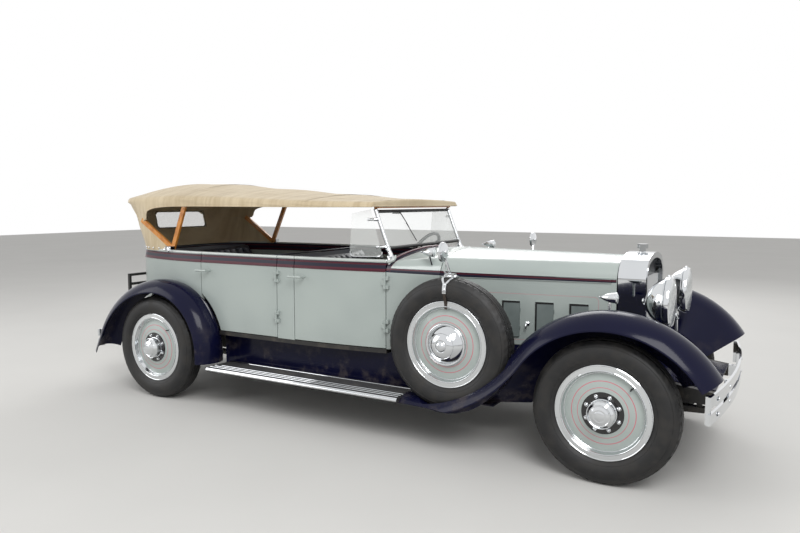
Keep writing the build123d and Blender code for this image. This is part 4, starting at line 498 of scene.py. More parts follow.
def dial_face(shader, centre, radius):
    """A gauge: pale ring of marks on a black face."""
    _, y, z = shader.place()
    dy, dz = y - centre[1], z - centre[2]
    away = (dy ** 2.0 + dz ** 2.0) ** 0.5
    ticks = (dz.math("ARCTAN2", dz, dy) * 20.0).sine() > 0.7
    marks = ticks * shader.band(away, radius * 0.78, radius * 0.09)
    colour = shader.mix(marks, srgb(18, 18, 18), srgb(225, 222, 205))
    return shader.surface(base_color=colour, roughness=0.3)


# Mesh building

def piece(name, points, faces, body, slot_name, material, smooth_angle=35):
    """One mesh object from points and faces, riding on a body of the frame."""
    mesh = bpy.data.meshes.new(name)
    mesh.from_pydata([tuple(p) for p in points], [], faces)
    mesh.validate()
    edit = bmesh.new()
    edit.from_mesh(mesh)
    bmesh.ops.remove_doubles(edit, verts=edit.verts, dist=0.00002)
    bmesh.ops.recalc_face_normals(edit, faces=edit.faces)
    edit.to_mesh(mesh)
    edit.free()
    mesh.materials.append(material)
    mesh.shade_smooth()
    mesh.set_sharp_from_angle(angle=math.radians(smooth_angle))
    item = bpy.data.objects.new(name, mesh)
    bpy.context.collection.objects.link(item)
    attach(item, body)
    return item


class Shape:
    """Points and faces that a piece is built up from."""

    def __init__(self):
        self.points = []
        self.faces = []

    def add(self, points, faces):
        start = len(self.points)
        self.points += [Vector(p) for p in points]
        self.faces += [tuple(start + i for i in face) for face in faces]
        return self

    def grid(self, rows, around=False):
        """A net of faces over rows of points, closed across the rows if it goes around."""
        width = len(rows[0])
        faces = []
        for r in range(len(rows) - 1):
            for c in range(width if around else width - 1):
                d = (c + 1) % width
                faces.append((r * width + c, r * width + d,
                              (r + 1) * width + d, (r + 1) * width + c))
        return self.add([p for row in rows for p in row], faces)

    def lathe(self, centre, axis, profile, count=48):
        """Turn (distance from the axis, distance along it) points about an axis."""
        centre, axis = Vector(centre), Vector(axis).normalized()
        across = axis.orthogonal().normalized()
        other = axis.cross(across)
        rows = []
        for radius, along in profile:
            row = []
            for k in range(count):
                a = math.tau * k / count
                spoke = across * math.cos(a) + other * math.sin(a)
                row.append(centre + axis * along + spoke * radius)
            rows.append(row)
        return self.grid(rows, True)

    def tube(self, path, radius, count=10, flat=1.0):
        """A round bar along points, closed at its ends; a list of radii tapers it."""
        path = [Vector(p) for p in path]
        radii = radius if isinstance(radius, (list, tuple)) else [radius] * len(path)
        rows = []
        side = None
        for i, at in enumerate(path):
            ahead = (path[min(i + 1, len(path) - 1)] - path[max(i - 1, 0)]).normalized()
            if side is None:
                side = ahead.orthogonal().normalized()
                if abs(ahead.z) < 0.9:
                    side = ahead.cross(Vector((0, 0, 1))).normalized()
            side = (side - ahead * side.dot(ahead)).normalized()
            up = ahead.cross(side)
            rows.append([at + (side * math.cos(math.tau * k / count)
                               + up * (flat * math.sin(math.tau * k / count))) * radii[i]
                         for k in range(count)])
        return self.grid([[path[0]] * count] + rows + [[path[-1]] * count], True)

    def box(self, low, high):
        x0, y0, z0 = low
        x1, y1, z1 = high
        points = [(x, y, z) for x in (x0, x1) for y in (y0, y1) for z in (z0, z1)]
        return self.add(points, [(0, 1, 3, 2), (4, 6, 7, 5), (0, 4, 5, 1), (2, 3, 7, 6),
                                 (0, 2, 6, 4), (1, 5, 7, 3)])

    def dome(self, centre, axis, radius, height, count=16, rings=5):
        """A low button or bolt head."""
        profile = [(radius * math.cos(math.pi / 2 * k / rings),
                    height * math.sin(math.pi / 2 * k / rings)) for k in range(rings + 1)]
        return self.lathe(centre, axis, [(radius, -0.001)] + profile, count)

    def mirrored(self):
        """The same shape on the other side of the car."""
        twin = Shape()
        twin.points = [Vector((p.x, -p.y, p.z)) for p in self.points]
        twin.faces = [tuple(reversed(face)) for face in self.faces]
        return twin

    def on_side(self, way):
        """This right-hand shape, or its mirror image for the left side."""
        return self.mirrored() if way == 1 else self

    def doubled(self):
        """This right-hand shape with its mirror image added."""
        twin = self.mirrored()
        return self.add(twin.points, twin.faces)

    def build(self, name, body, slot_name, material, smooth_angle=35):
        return piece(name, self.points, self.faces, body, slot_name, material, smooth_angle)


def arc_points(first, middle, last, count):
    """Points along the circle through three points of a plan."""
    (ax, ay), (bx, by), (cx, cy) = first, middle, last
    d = 2 * (ax * (by - cy) + bx * (cy - ay) + cx * (ay - by))
    a2, b2, c2 = ax * ax + ay * ay, bx * bx + by * by, cx * cx + cy * cy
    ux = (a2 * (by - cy) + b2 * (cy - ay) + c2 * (ay - by)) / d
    uy = (a2 * (cx - bx) + b2 * (ax - cx) + c2 * (bx - ax)) / d
    radius = math.hypot(ax - ux, ay - uy)
    start = math.atan2(ay - uy, ax - ux)
    end = math.atan2(cy - uy, cx - ux)
    while end - start > math.pi:
        end -= math.tau
    while end - start < -math.pi:
        end += math.tau
    return [(ux + radius * math.cos(start + (end - start) * k / count),
             uy + radius * math.sin(start + (end - start) * k / count)) for k in range(count + 1)]


def between(first, last, share):
    """The value at a share of the way from the first to the last."""
    return first + (last - first) * share


def clamp(value):
    """The value, held between 0 and 1."""
    return min(1.0, max(0.0, value))


def curve_radius(curve):
    """Radius of a plan curve from its length and depth."""
    length, depth = curve
    return (length ** 2 + depth ** 2) / (2 * depth)


def body_edge(x, inset=0.0):
    """How far out the body's side stands at a station."""
    if x > PILLAR_FRONT_X:
        radius = curve_radius(FRONT_CURVE)
        drop = radius - math.sqrt(radius ** 2 - (x - PILLAR_FRONT_X) ** 2)
        return PILLAR_HALF_WIDTH - drop - inset
    if x > REAR_DOOR_REAR_X:
        share = (PILLAR_FRONT_X - x) / (PILLAR_FRONT_X - REAR_DOOR_REAR_X)
        return between(PILLAR_HALF_WIDTH, BODY_HALF_WIDTH, share) - inset
    radius = curve_radius(TAIL_CURVE)
    drop = radius - math.sqrt(radius ** 2 - (x - REAR_DOOR_REAR_X) ** 2)
    return BODY_HALF_WIDTH - drop - inset


def tail_path(inset, count=10):
    """The tail's plan from the rear doors round to the middle, on the left."""
    length, depth = TAIL_CURVE
    stations = [REAR_DOOR_REAR_X - length * k / count for k in range(count + 1)]
    points = [(x, body_edge(x, inset)) for x in stations]
    turn = 2 * math.atan2(depth, length)
    radius = TAIL_CORNER_RADIUS - inset
    for k in range(1, count + 1):
        a = math.pi / 2 + turn + (math.pi / 2 - turn) * k / count
        points.append((TAIL_CORNER[0] + radius * math.cos(a),
                       TAIL_CORNER[1] + radius * math.sin(a)))
    return points + [(TAIL_END_X + inset, 0.0)]


# Settings in the sidebar

class TouringPaint(bpy.types.PropertyGroup):
    """Coachwork colours and striping."""
    body: bpy.props.FloatVectorProperty(
        name="Body", description="Main coachwork colour", subtype="COLOR", size=4,
        min=0, max=1, default=srgb(170, 179, 175))
    body_shade: bpy.props.FloatVectorProperty(
        name="Body shade", description="Slightly darker cloudy tone in the coachwork",
        subtype="COLOR", size=4, min=0, max=1, default=srgb(160, 169, 166))
    belt: bpy.props.FloatVectorProperty(
        name="Belt", description="Belt band below the windows", subtype="COLOR", size=4,
        min=0, max=1, default=srgb(18, 18, 38))
    stripe: bpy.props.FloatVectorProperty(
        name="Stripe", description="Striping lines", subtype="COLOR", size=4,
        min=0, max=1, default=srgb(92, 18, 32))
    fender: bpy.props.FloatVectorProperty(
        name="Fender", description="Fenders and aprons", subtype="COLOR", size=4,
        min=0, max=1, default=srgb(15, 17, 48))
    fender_shade: bpy.props.FloatVectorProperty(
        name="Fender shade", description="Darker cloudy tone in the fenders",
        subtype="COLOR", size=4, min=0, max=1, default=srgb(10, 11, 34))
    stripe_width: bpy.props.FloatProperty(
        name="Stripe width", description="Width of the striping lines", subtype="DISTANCE",
        unit="LENGTH", min=0.001, max=0.02, default=0.004)


class TouringTrim(bpy.types.PropertyGroup):
    """Top, seats and small trim."""
    canvas: bpy.props.FloatVectorProperty(
        name="Canvas", description="Top cloth", subtype="COLOR", size=4, min=0, max=1,
        default=srgb(206, 190, 160))
    canvas_shade: bpy.props.FloatVectorProperty(
        name="Canvas shade", description="Streaks in the top cloth", subtype="COLOR", size=4,
        min=0, max=1, default=srgb(184, 166, 134))
    leather: bpy.props.FloatVectorProperty(
        name="Leather", description="Seat hide", subtype="COLOR", size=4, min=0, max=1,
        default=srgb(27, 30, 44))
    leather_shade: bpy.props.FloatVectorProperty(
        name="Leather shade", description="Worn crowns of the seat hide", subtype="COLOR",
        size=4, min=0, max=1, default=srgb(50, 54, 70))
    sag: bpy.props.FloatProperty(
        name="Canvas sag", description="How far the top hangs between its bows",
        subtype="DISTANCE", unit="LENGTH", min=0, max=0.03, default=0.009)
    pleat: bpy.props.FloatProperty(
        name="Pleat pitch", description="Width of one pleat in the seats", subtype="DISTANCE",
        unit="LENGTH", min=0.03, max=0.2, default=0.072)


class TouringView(bpy.types.PropertyGroup):
    """The camera that matches the picture."""
    lens: bpy.props.FloatProperty(
        name="Lens", description="Focal length on a 36 mm sensor", subtype="DISTANCE_CAMERA",
        unit="CAMERA", min=10, max=200, default=31.32)
    place: bpy.props.FloatVectorProperty(
        name="Place", description="Camera position in the car's frame", subtype="TRANSLATION",
        size=3, default=(2.8115, -4.6265, 1.5804))
    aim: bpy.props.FloatVectorProperty(
        name="Aim", description="Direction the camera looks in", subtype="DIRECTION", size=3,
        default=(-0.49805, 0.86220, -0.09253))


# Operators, one for each group of pieces

SLOT_FINISH = {
    "body_paint": body_paint, "fender_paint": fender_paint, "black_paint": chassis_paint,
    "bright_metal": chrome, "tyre_rubber": tyre_rubber, "board_rubber": mat_rubber,
    "canvas": canvas_cloth, "bow_wood": varnished_wood, "seat_leather": seat_leather,
    "glass": window_glass, "floor_mat": mat_rubber, "cast_metal": satin_metal,
}


def node_finish(name, slot_name):
    """The material of a solid of the frame: the slot's own, or a special one by node."""
    if name == "spare_wheels":
        return finish_of("spare_wheel_paint", lambda s: wheel_paint(s, SPARE_CENTRE, True))
    if name.startswith("wheel_"):
        end = name.split("_")[1]
        x, y = AXLES[end]
        return finish_of(f"wheel_paint_{end}", lambda s: wheel_paint(s, (x, y, AXLE_Z)))
    if name == "radiator_core":
        return finish_of("shutters", shutter_metal)
    if name == "lamp_lenses":
        return finish_of("lamp_glass", lens_glass)
    return finish_of(slot_name, SLOT_FINISH[slot_name])


class PaintSolids(bpy.types.Operator):
    """Give every solid of the frame its finish"""
    bl_idname = "touring.paint_solids"
    bl_label = "Paint Solids"

    def execute(self, context):
        slots = {row["node"]: row["material_slot"] for row in frame["record"]["subparts"]}
        for name, item in frame["nodes"].items():
            material = node_finish(name, slots[name])
            if not item.material_slots:
                item.data.materials.append(material)
            for material_slot in item.material_slots:
                material_slot.material = material
        return {"FINISHED"}


def emitter(name, place, aim, size, power):
    """A soft square lamp."""
    lamp = bpy.data.lights.new(name, "AREA")
    lamp.shape, lamp.size, lamp.energy = "SQUARE", size, power
    item = bpy.data.objects.new(name, lamp)
    bpy.context.collection.objects.link(item)
    item.location = place
    item.rotation_euler = (Vector(aim) - Vector(place)).to_track_quat("-Z", "Y").to_euler()
    return item


class BuildStage(bpy.types.Operator):
    """Add the floor, the studio light and the camera"""
    bl_idname = "touring.build_stage"
    bl_label = "Stage"

    def execute(self, context):
        shader = Shader(bpy.data.materials.new("studio_floor"))
        shader.place()
        tone = shader.mix(shader.grain(0.6, 3), srgb(216, 215, 212), srgb(206, 205, 202))
        mesh = bpy.data.meshes.new("floor")
        half = 30
        corners = [(-half, -half, 0), (half, -half, 0), (half, half, 0), (-half, half, 0)]
        mesh.from_pydata(corners, [], [(0, 1, 2, 3)])
        mesh.materials.append(shader.surface(base_color=tone, roughness=0.85))
        floor = bpy.data.objects.new("floor", mesh)
        context.collection.objects.link(floor)
        floor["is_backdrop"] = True

        world = bpy.data.worlds.new("studio")
        context.scene.world = world
        sky = Shader(world)
        camera_ray, glossy_ray, through_ray = [
            sky.node("ShaderNodeLightPath", output=name)
            for name in ("Is Camera Ray", "Is Glossy Ray", "Is Transmission Ray")]
        seen = either(either(camera_ray, glossy_ray), through_ray)
        glow = sky.node("ShaderNodeBackground", None,
                        {"Color": (1, 1, 1, 1), "Strength": 0.55 + 0.45 * seen})
        sky.node("ShaderNodeOutputWorld", None, {"Surface": glow})

        emitter("key", (5.5, -6.5, 7.5), (0, 0, 0.6), 5.0, 620)
        emitter("fill", (-6.5, -5.0, 4.0), (-0.5, 0, 0.7), 5.0, 170)
        emitter("rim", (-1.0, 7.0, 6.0), (0, 0, 0.8), 5.0, 260)

        view = camera_settings()
        lens = bpy.data.cameras.new("view")
        lens.lens = view.lens
        lens.sensor_width = 36.0
        camera = bpy.data.objects.new("view", lens)
        context.collection.objects.link(camera)
        camera.location = view.place
        camera.rotation_mode = "QUATERNION"
        camera.rotation_quaternion = Vector(view.aim).to_track_quat("-Z", "Y")
        context.scene.camera = camera
        context.scene.view_settings.view_transform = "Standard"
        return {"FINISHED"}


class BuildTyres(bpy.types.Operator):
    """Tyres with a ribbed, notched tread, fine sidewall rings and rounded shoulders"""
    bl_idname = "touring.build_tyres"
    bl_label = "Tyres"

    def execute(self, context):
        rubber = finish_of("tyre_rubber", tyre_rubber)
        for name, body, x, y in WHEELS:
            tyre = Shape()
            add_tyre(tyre, (x, y, AXLE_Z))
            item = tyre.build("tyre_tread_" + name, body, "tyre_rubber", rubber, 28)
            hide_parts("tyre_" + name)
        spares = Shape()
        for way in (-1, 1):
            add_tyre(spares, spare_centre(way))
        item = spares.build("tyre_tread_spares", CHASSIS, "tyre_rubber", rubber, 28)
        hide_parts("spare_tyres")
        return {"FINISHED"}


WHEELS = [(f"{end}_{side}", f"wheel_{end}_{side}_body", x, way * y)
          for end, (x, y) in AXLES.items() for side, way in SIDES]


def spare_centre(way):
    """Centre of the spare wheel on one side."""
    return (SPARE_CENTRE[0], way * SPARE_CENTRE[1], SPARE_CENTRE[2])


def tyre_outline(steps=4):
    """Half a tyre's section from the middle of the tread in: radius, distance out, and kind."""
    tread, crown, depth = 0.056, 0.009, 0.0065
    points = []

    def rib(out):
        return TYRE_RADIUS - crown * (out / tread) ** 2

    for low, high, kind in ((0.0, 0.0085, "rib"), (0.0145, 0.0305, "rib"), (0.0365, 0.054, "edge")):
        if points:
            points += [(rib(low) - depth, low - back, "groove") for back in (0.005, 0.001)]
        for k in range(steps + 1):
            out = low + (high - low) * k / steps
            on_groove = k in (0, steps) and (low, k) != (0.0, 0)
            points.append((rib(out), out, "groove" if on_groove else kind))
    wall = arc_points((0.404, 0.056), (0.33956, 0.0875), (0.2703, 0.060), 22)
    for k, (r, out) in enumerate(wall):
        points.append((r, out, "edge" if k < 3 else "wall"))
        if k in (5, 17):
            r2, out2 = wall[k + 1]
            for share, lift in ((0.25, 0.0), (0.4, 0.0014), (0.6, 0.0014), (0.75, 0.0)):
                points.append((r + (r2 - r) * share, out + (out2 - out) * share + lift, "wall"))
    return points


def add_tyre(shape, centre, count=150):
    """A tyre about an axle centre: zigzag grooves and notched shoulders in its tread."""
    half = tyre_outline()
    rows = []
    for way, line in ((-1, half[:0:-1]), (1, half)):
        for radius, out, kind in line:
            row = []
            for k in range(count):
                a = math.tau * k / count
                notched = kind == "edge" and k % 3 == 0 and 0.038 < out < 0.068
                r = radius - (0.0045 if notched else 0)
                zigzag = 0.0022 * (1 if k % 2 else -1) if kind == "groove" else 0
                row.append((centre[0] + r * math.cos(a), centre[1] + way * out + zigzag,
                            centre[2] + r * math.sin(a)))
            rows.append(row)
    rows.append(rows[0])
    shape.grid(rows, True)


# Sections of the spare wheel's cover and the hub's cap: distance from the axle, distance out
COVER_PROFILE = (
    (0.1335, 0.0600), (0.1345, 0.0680), (0.1315, 0.0745), (0.1250, 0.0765), (0.1215, 0.0745),
    (0.1180, 0.0790), (0.1040, 0.0960), (0.0920, 0.1080), (0.0830, 0.1160), (0.0800, 0.1195),
    (0.0770, 0.1180), (0.0730, 0.1225), (0.0600, 0.1310), (0.0450, 0.1365), (0.0380, 0.1380),
    (0.0350, 0.1360), (0.0320, 0.1395), (0.0270, 0.1470), (0.0200, 0.1520), (0.0100, 0.1545),
    (0.0001, 0.1550))
CAP_PROFILE = (
    (0.0590, 0.1255), (0.0610, 0.1275), (0.0600, 0.1300), (0.0560, 0.1312), (0.0530, 0.1296),
    (0.0500, 0.1310), (0.0400, 0.1352), (0.0330, 0.1370), (0.0300, 0.1362), (0.0270, 0.1376),
    (0.0180, 0.1392), (0.0080, 0.1400), (0.0001, 0.1402))


class BuildWheelTrim(bpy.types.Operator):
    """Rim rings, domed bolts, ringed hub barrels and plain caps for the disc wheels"""
    bl_idname = "touring.build_wheel_trim"
    bl_label = "Wheel Trim"

    def execute(self, context):
        plate = finish_of("bright_metal", chrome)
        rubber = finish_of("board_rubber", mat_rubber)
        for name, body, x, y in WHEELS:
            way = 1 if y > 0 else -1
            trim, stem = Shape(), Shape()
            add_rim_rings(trim, (x, y, AXLE_Z), way)
            add_hub(trim, (x, y, AXLE_Z), way)
            trim.build("wheel_trim_" + name, body, "bright_metal", plate)
            add_valve(stem, (x, y, AXLE_Z), way)
            stem.build("valve_" + name, body, "board_rubber", rubber)
        trim = Shape()
        for way in (-1, 1):
            add_rim_rings(trim, spare_centre(way), way)
            trim.lathe(spare_centre(way), (0, way, 0), COVER_PROFILE, 72)
        trim.build("spare_covers", CHASSIS, "bright_metal", plate, 50)
        return {"FINISHED"}


def ring_profile(radius, out, size, steps=10):
    """A closed round section for a ring: radius, distance out."""
    turns = [math.tau * k / steps for k in range(steps + 1)]
    return [(radius + size * math.cos(a), out + size * math.sin(a)) for a in turns]


def add_rim_rings(shape, centre, way):
    """The rim's rolled outer lip, its bright bead and the fine step inside it."""
    for radius, out, size in ((0.2680, 0.0640, 0.0042), (0.2370, 0.0660, 0.0036),
                              (0.2235, 0.0400, 0.0026)):
        shape.lathe(centre, (0, way, 0), ring_profile(radius, out, size), 96)


def add_hub(shape, centre, way):
    """Bolt heads round the flange, rings on the barrel and a plain domed cap."""
    axis = (0, way, 0)
    nut = ((0.0125, -0.0120), (0.0125, -0.0080), (0.0098, -0.0070), (0.0098, 0.0))
    for k in range(8):
        a = math.tau * (k + 0.5) / 8
        at = (centre[0] + BOLT_CIRCLE * math.cos(a), centre[1] + way * 0.0738,
              centre[2] + BOLT_CIRCLE * math.sin(a))
        shape.lathe(at, axis, nut, 6)
        shape.dome(at, axis, 0.0094, 0.0050, 14, 4)
    for radius, out, size in ((HUB_RADIUS, 0.0640, 0.0040), (0.0768, 0.0960, 0.0022),
                              (0.0765, 0.1070, 0.0030)):
        shape.lathe(centre, axis, ring_profile(radius, out, size, 8), 56)
    shape.lathe(centre, axis, CAP_PROFILE, 56)


def add_valve(shape, centre, way):
    """The tyre's valve stem and its cap, through the disc near the rim."""
    at = Vector(centre) + Vector((0.150, way * 0.036, 0.150))
    shape.lathe(at, (0, way, 0), ((0.0060, 0.0), (0.0050, 0.0100), (0.0040, 0.0120),
                                  (0.0040, 0.0300), (0.0050, 0.0310), (0.0050, 0.0420),
                                  (0.0001, 0.0440)), 12)


def edge_points(x0, x1, inset, z, count=14):
    """Points along the body's right side between two stations."""
    stations = [x0 + (x1 - x0) * k / count for k in range(count + 1)]
    return [(x, -body_edge(x, inset), z) for x in stations]


def capping_painted_highlight(shader):
    """The rolled top edge of the body: enamel polished by elbows, its colour paler than the body's
    as a painted highlight.
    """
    tone = mottled(shader, 5, 3, srgb(196, 201, 198), tuple(paint_settings().body))
    return shader.surface(base_color=tone, roughness=0.16 + 0.06 * shader.grain(30, 3),
                          coat_weight=0.7, coat_roughness=0.04)


def belt_paint(shader):
    """The belt's dark enamel, used on the mouldings that stand proud of it."""
    paint = paint_settings()
    tone = mottled(shader, 8, 3, tuple(paint.belt), tuple(paint.stripe))
    return shader.surface(base_color=shader.mix(0.35, tone, tuple(paint.stripe)), roughness=0.25,
                          specular_ior_level=0.3, coat_weight=0.1, coat_roughness=0.05)


# Mouldings along the body's side: inset from its skin, height and radius
CAPPING = (BELT_LEAN + 0.007, BELT_TOP_Z + 0.001, 0.0125)
BEADS = ((-0.0005, BELT_Z + 0.002, 0.0045), (0.0072, BELT_TOP_Z - 0.017, 0.0032))


class BuildBelt(bpy.types.Operator):
    """Rolled capping along the body's top edge and the two beads that bound the belt"""
    bl_idname = "touring.build_belt"
    bl_label = "Belt and Capping"

    def execute(self, context):
        # The capping's paint is paler than the body's: a painted highlight.
        cap = finish_of("capping_painted_highlight", capping_painted_highlight)
        bead = finish_of("belt_paint", belt_paint)
        runs = (("pillar", CHASSIS, PILLAR_REAR_X, PILLAR_FRONT_X),
                ("door_rear", "door_rear_{}_body",
                 REAR_DOOR_REAR_X + DOOR_GAP, PILLAR_REAR_X - DOOR_GAP),
                ("door_front", "door_front_{}_body",
                 PILLAR_FRONT_X + DOOR_GAP, COWL_REAR_X - DOOR_GAP))
        for side, way in SIDES:
            for name, body, x0, x1 in runs:
                top, low = Shape(), Shape()
                for shape, count, mouldings in ((top, 14, (CAPPING,)), (low, 8, BEADS)):
                    for inset, z, radius in mouldings:
                        shape.tube(edge_points(x0, x1, inset, z), radius, count)
                for shape, kind, finish in ((top, "capping", cap), (low, "belt_bead", bead)):
                    shape.on_side(way).build(f"{kind}_{name}_{side}", body.format(side),
                                             "body_paint", finish)
        tail_top, tail_low = Shape(), Shape()
        for shape, (inset, z, radius) in ((tail_top, CAPPING), (tail_low, BEADS[0]),
                                          (tail_low, BEADS[1])):
            left = [(x, y, z) for x, y in tail_path(inset)]
            shape.tube(left + [(x, -y, z) for x, y, z in reversed(left[:-1])], radius, 12)
        tail_top.build("capping_tail", CHASSIS, "body_paint", cap)
        tail_low.build("belt_bead_tail", CHASSIS, "body_paint", bead)

        hook, sweep = Shape(), Shape()
        hook.tube([(0.409, -0.636, 1.181), (0.428, -0.629, 1.183), (0.446, -0.618, 1.192),
                   (0.451, -0.604, 1.206), (0.444, -0.590, 1.219)],
                  [0.0125, 0.0122, 0.011, 0.009, 0.006], 12)
        arc = arc_points((-0.580, 1.184), (0.0, 1.246), (0.580, 1.184), 40)
        sweep.tube([(COWL_REAR_X + 0.004, y, z + 0.002) for y, z in arc], 0.0085, 10)
        hook.doubled().build("capping_cowl", CHASSIS, "body_paint", cap)
        sweep.build("cowl_edge", CHASSIS, "body_paint", bead)
        return {"FINISHED"}


# The hood's side: half width at its rear edge, and how fast it draws in ahead of that
HOOD_SIDE = (0.472, 0.1522)


def hood_side_y(x, out=0.0):
    """How far out the hood's side stands at a station."""
    half, taper = HOOD_SIDE
    return half - (x - HOOD_REAR_X) * taper + out


def dark_gap(shader):
    """The unlit space behind the vent doors."""
    return shader.surface(base_color=mottled(shader, 20, 3, srgb(8, 8, 9), srgb(18, 18, 19)),
                          roughness=0.8)


def vent_doors_painted_shade(shader):
    """Coachwork paint on the vent doors, darkened as painted shade for the shadow they stand in."""
    tone = mottled(shader, 9, 3, tuple(paint_settings().body_shade), srgb(96, 106, 105))
    return shader.surface(base_color=shader.mix(0.6, tone, srgb(92, 102, 101)), roughness=0.45)


# Vent doors in the hood's side, and the sections of its two kinds of latch
VENT_PITCH = 0.212
VENT_WIDTH = 0.116
VENT_HEIGHTS = (0.715, 0.945)
TURN_LATCH = ((0.0150, 0.0), (0.0150, 0.003), (0.0100, 0.006), (0.0065, 0.008), (0.0065, 0.020),
              (0.0001, 0.021))
PUSH_LATCH = ((0.020, 0.0), (0.020, 0.004), (0.013, 0.008), (0.009, 0.012), (0.009, 0.026),
              (0.013, 0.030), (0.010, 0.036), (0.0001, 0.038))


class BuildHoodDetail(bpy.types.Operator):
    """Vent doors standing ajar, latches, and the knuckles of the hood's middle hinge"""
    bl_idname = "touring.build_hood_detail"
    bl_label = "Hood Doors and Latches"

    def execute(self, context):
        plate = finish_of("bright_metal", chrome)
        # The hinge knuckles take the capping's paint, paler than the body's as a painted highlight.
        paint = finish_of("capping_painted_highlight", capping_painted_highlight)
        shade = finish_of("dark_gap", dark_gap)
        # The vent doors' paint is darkened with painted shade.
        shaded_door_colour = finish_of("vent_doors_painted_shade", vent_doors_painted_shade)
        z0, z1 = VENT_HEIGHTS
        for side, way in SIDES:
            gaps, doors, bright = Shape(), Shape(), Shape()
            for k in range(4):
                x0 = HOOD_REAR_X + VENT_PITCH + VENT_PITCH * k
                x1 = x0 + VENT_WIDTH
                add_slab(gaps, (x0 + 0.0005, x1 - 0.0005), (z0 + 0.0005, z1 - 0.0005),
                         (0.0068, 0.0068))
                add_slab(doors, (x0 + 0.017, x1 - 0.001), (z0 - 0.001, z1 - 0.013),
                         (0.0235, 0.0115), 0.004)
                for share in (0.25, 0.75):
                    y, z = -hood_side_y(x1, 0.009), z0 + (z1 - z0) * share
                    doors.tube([(x1 + 0.001, y, z - 0.012), (x1 + 0.001, y, z + 0.012)], 0.0042, 8)
            for k in (2, 3):
                x = HOOD_REAR_X + VENT_PITCH * k - 0.048
                y, z = -hood_side_y(x), 0.800
                bright.lathe((x, y, z), (0, -1, 0), TURN_LATCH, 20)
                bright.tube([(x, y - 0.018, z), (x - 0.003, y - 0.024, z - 0.016),
                             (x - 0.002, y - 0.025, z - 0.036)], [0.0062, 0.0052, 0.0038], 10)
            for x in (HOOD_REAR_X + 0.16, SHELL_REAR_X - 0.16):
                bright.lathe((x, -hood_side_y(x), 0.700), (0, -1, 0), PUSH_LATCH, 20)
            for shape, kind, slot_name, finish in (
                    (gaps, "vent_gaps", "body_paint", shade),
                    (doors, "vent_doors", "body_paint", shaded_door_colour),
                    (bright, "hood_latches", "bright_metal", plate)):
                shape.on_side(way).build(f"{kind}_{side}", f"hood_side_{side}_body", slot_name,
                                         finish, 30)
        rod = Shape()
        for k in range(38):
            x = HOOD_REAR_X + 0.012 + 0.0292 * k
            z = HOOD_ROD_Z - 0.014 * (x - HOOD_REAR_X) / (SHELL_REAR_X - HOOD_REAR_X)
            rod.tube([(x, 0, z + 0.001), (x + 0.0262, 0, z + 0.001 - 0.0003)], 0.0062, 10)
        rod.build("hood_knuckles", CHASSIS, "body_paint", paint)
        return {"FINISHED"}


def add_slab(shape, stations, heights, outs, thick=None):
    """A plate on the hood's right side, as far out at each end as outs says; with no thickness
    given it reaches in to the side."""
    points = []
    for x, out in zip(stations, outs):
        inner = 0.0 if thick is None else out - thick
        for z in heights:
            points += [(x, -hood_side_y(x, out), z), (x, -hood_side_y(x, inner), z)]
    shape.add(points, [(0, 2, 6, 4), (1, 5, 7, 3), (0, 4, 5, 1), (2, 3, 7, 6), (0, 1, 3, 2),
                       (4, 6, 7, 5)])


# One rib of the running board's rubber, as steps across and up
RIB = ((-0.0032, 0.0), (-0.0016, 0.0030), (0.0016, 0.0030), (0.0032, 0.0))


class BuildBoards(bpy.types.Operator):
    """Ribbed rubber on the running boards, with bright strips and an edge moulding"""
    bl_idname = "touring.build_boards"
    bl_label = "Running Boards"

    def execute(self, context):
        rubber = finish_of("board_rubber", mat_rubber)
        plate = finish_of("bright_metal", chrome)
        low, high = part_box("running_boards")
        x0, x1, z = low.x, high.x, BOARD_Z
        for side, way in SIDES:
            ribs, strips = Shape(), Shape()
            y = -0.862
            while y < -0.628:
                ribs.grid([[(x0 + 0.012, y + dy, z + dz), (x1 - 0.012, y + dy, z + dz)]
                           for dy, dz in RIB])
                y += 0.0086
            for y in (-0.845, -0.812, -0.779, -0.640):
                strips.tube([(x0 + 0.010, y, z + 0.0030), (x0 + 0.016, y, z + 0.0046),
                             (x1 - 0.016, y, z + 0.0046), (x1 - 0.010, y, z + 0.0030)],
                            0.0052, 10, 0.75)
            for y, drop, radius, count in ((-0.8795, 0.012, 0.0100, 12),
                                           (-0.8775, 0.001, 0.0050, 10)):
                strips.tube([(x0 + 0.002, y, z - drop), (x1 - 0.002, y, z - drop)], radius, count)
            for shape, kind, slot_name, finish in ((ribs, "board_ribs", "board_rubber", rubber),
                                                   (strips, "board_strips", "bright_metal", plate)):
                shape.on_side(way).build(f"{kind}_{side}", CHASSIS, slot_name, finish)
        return {"FINISHED"}


# Canvas sections: station, half width, lower edge, shoulder height, crown height
ROOF = ((0.300, 0.655, 1.548, 1.580, 1.597), (-0.320, 0.662, 1.546, 1.590, 1.641),
        (-1.254, 0.663, 1.547, 1.619, 1.712), (-1.600, 0.663, 1.545, 1.622, 1.738),
        (-1.776, 0.662, 1.536, 1.618, 1.745), (-1.891, 0.660, 1.514, 1.614, 1.745),
        (-2.000, 0.651, 1.468, 1.608, 1.736), (-2.090, 0.637, 1.422, 1.606, 1.722),
        (-2.230, 0.587, 1.428, 1.606, 1.678), (-2.318, 0.482, 1.460, 1.604, 1.638))
EDGE_Z = 1.606
PLAN_START = -1.60
HOOPS = (-2.028, -1.491, -0.850, -0.270, 0.275)
# Curtain plans: height, half width, start of the corner, the corner's middle, and its end
CURTAIN = ((1.1805, 0.640, -1.870, (-2.054, 0.550), (-2.160, 0.250)),
           (1.471, 0.645, -1.950, (-2.170, 0.555), (-2.245, 0.300)),
           (1.606, 0.642, -2.070, (-2.255, 0.575), (-2.322, 0.470)))
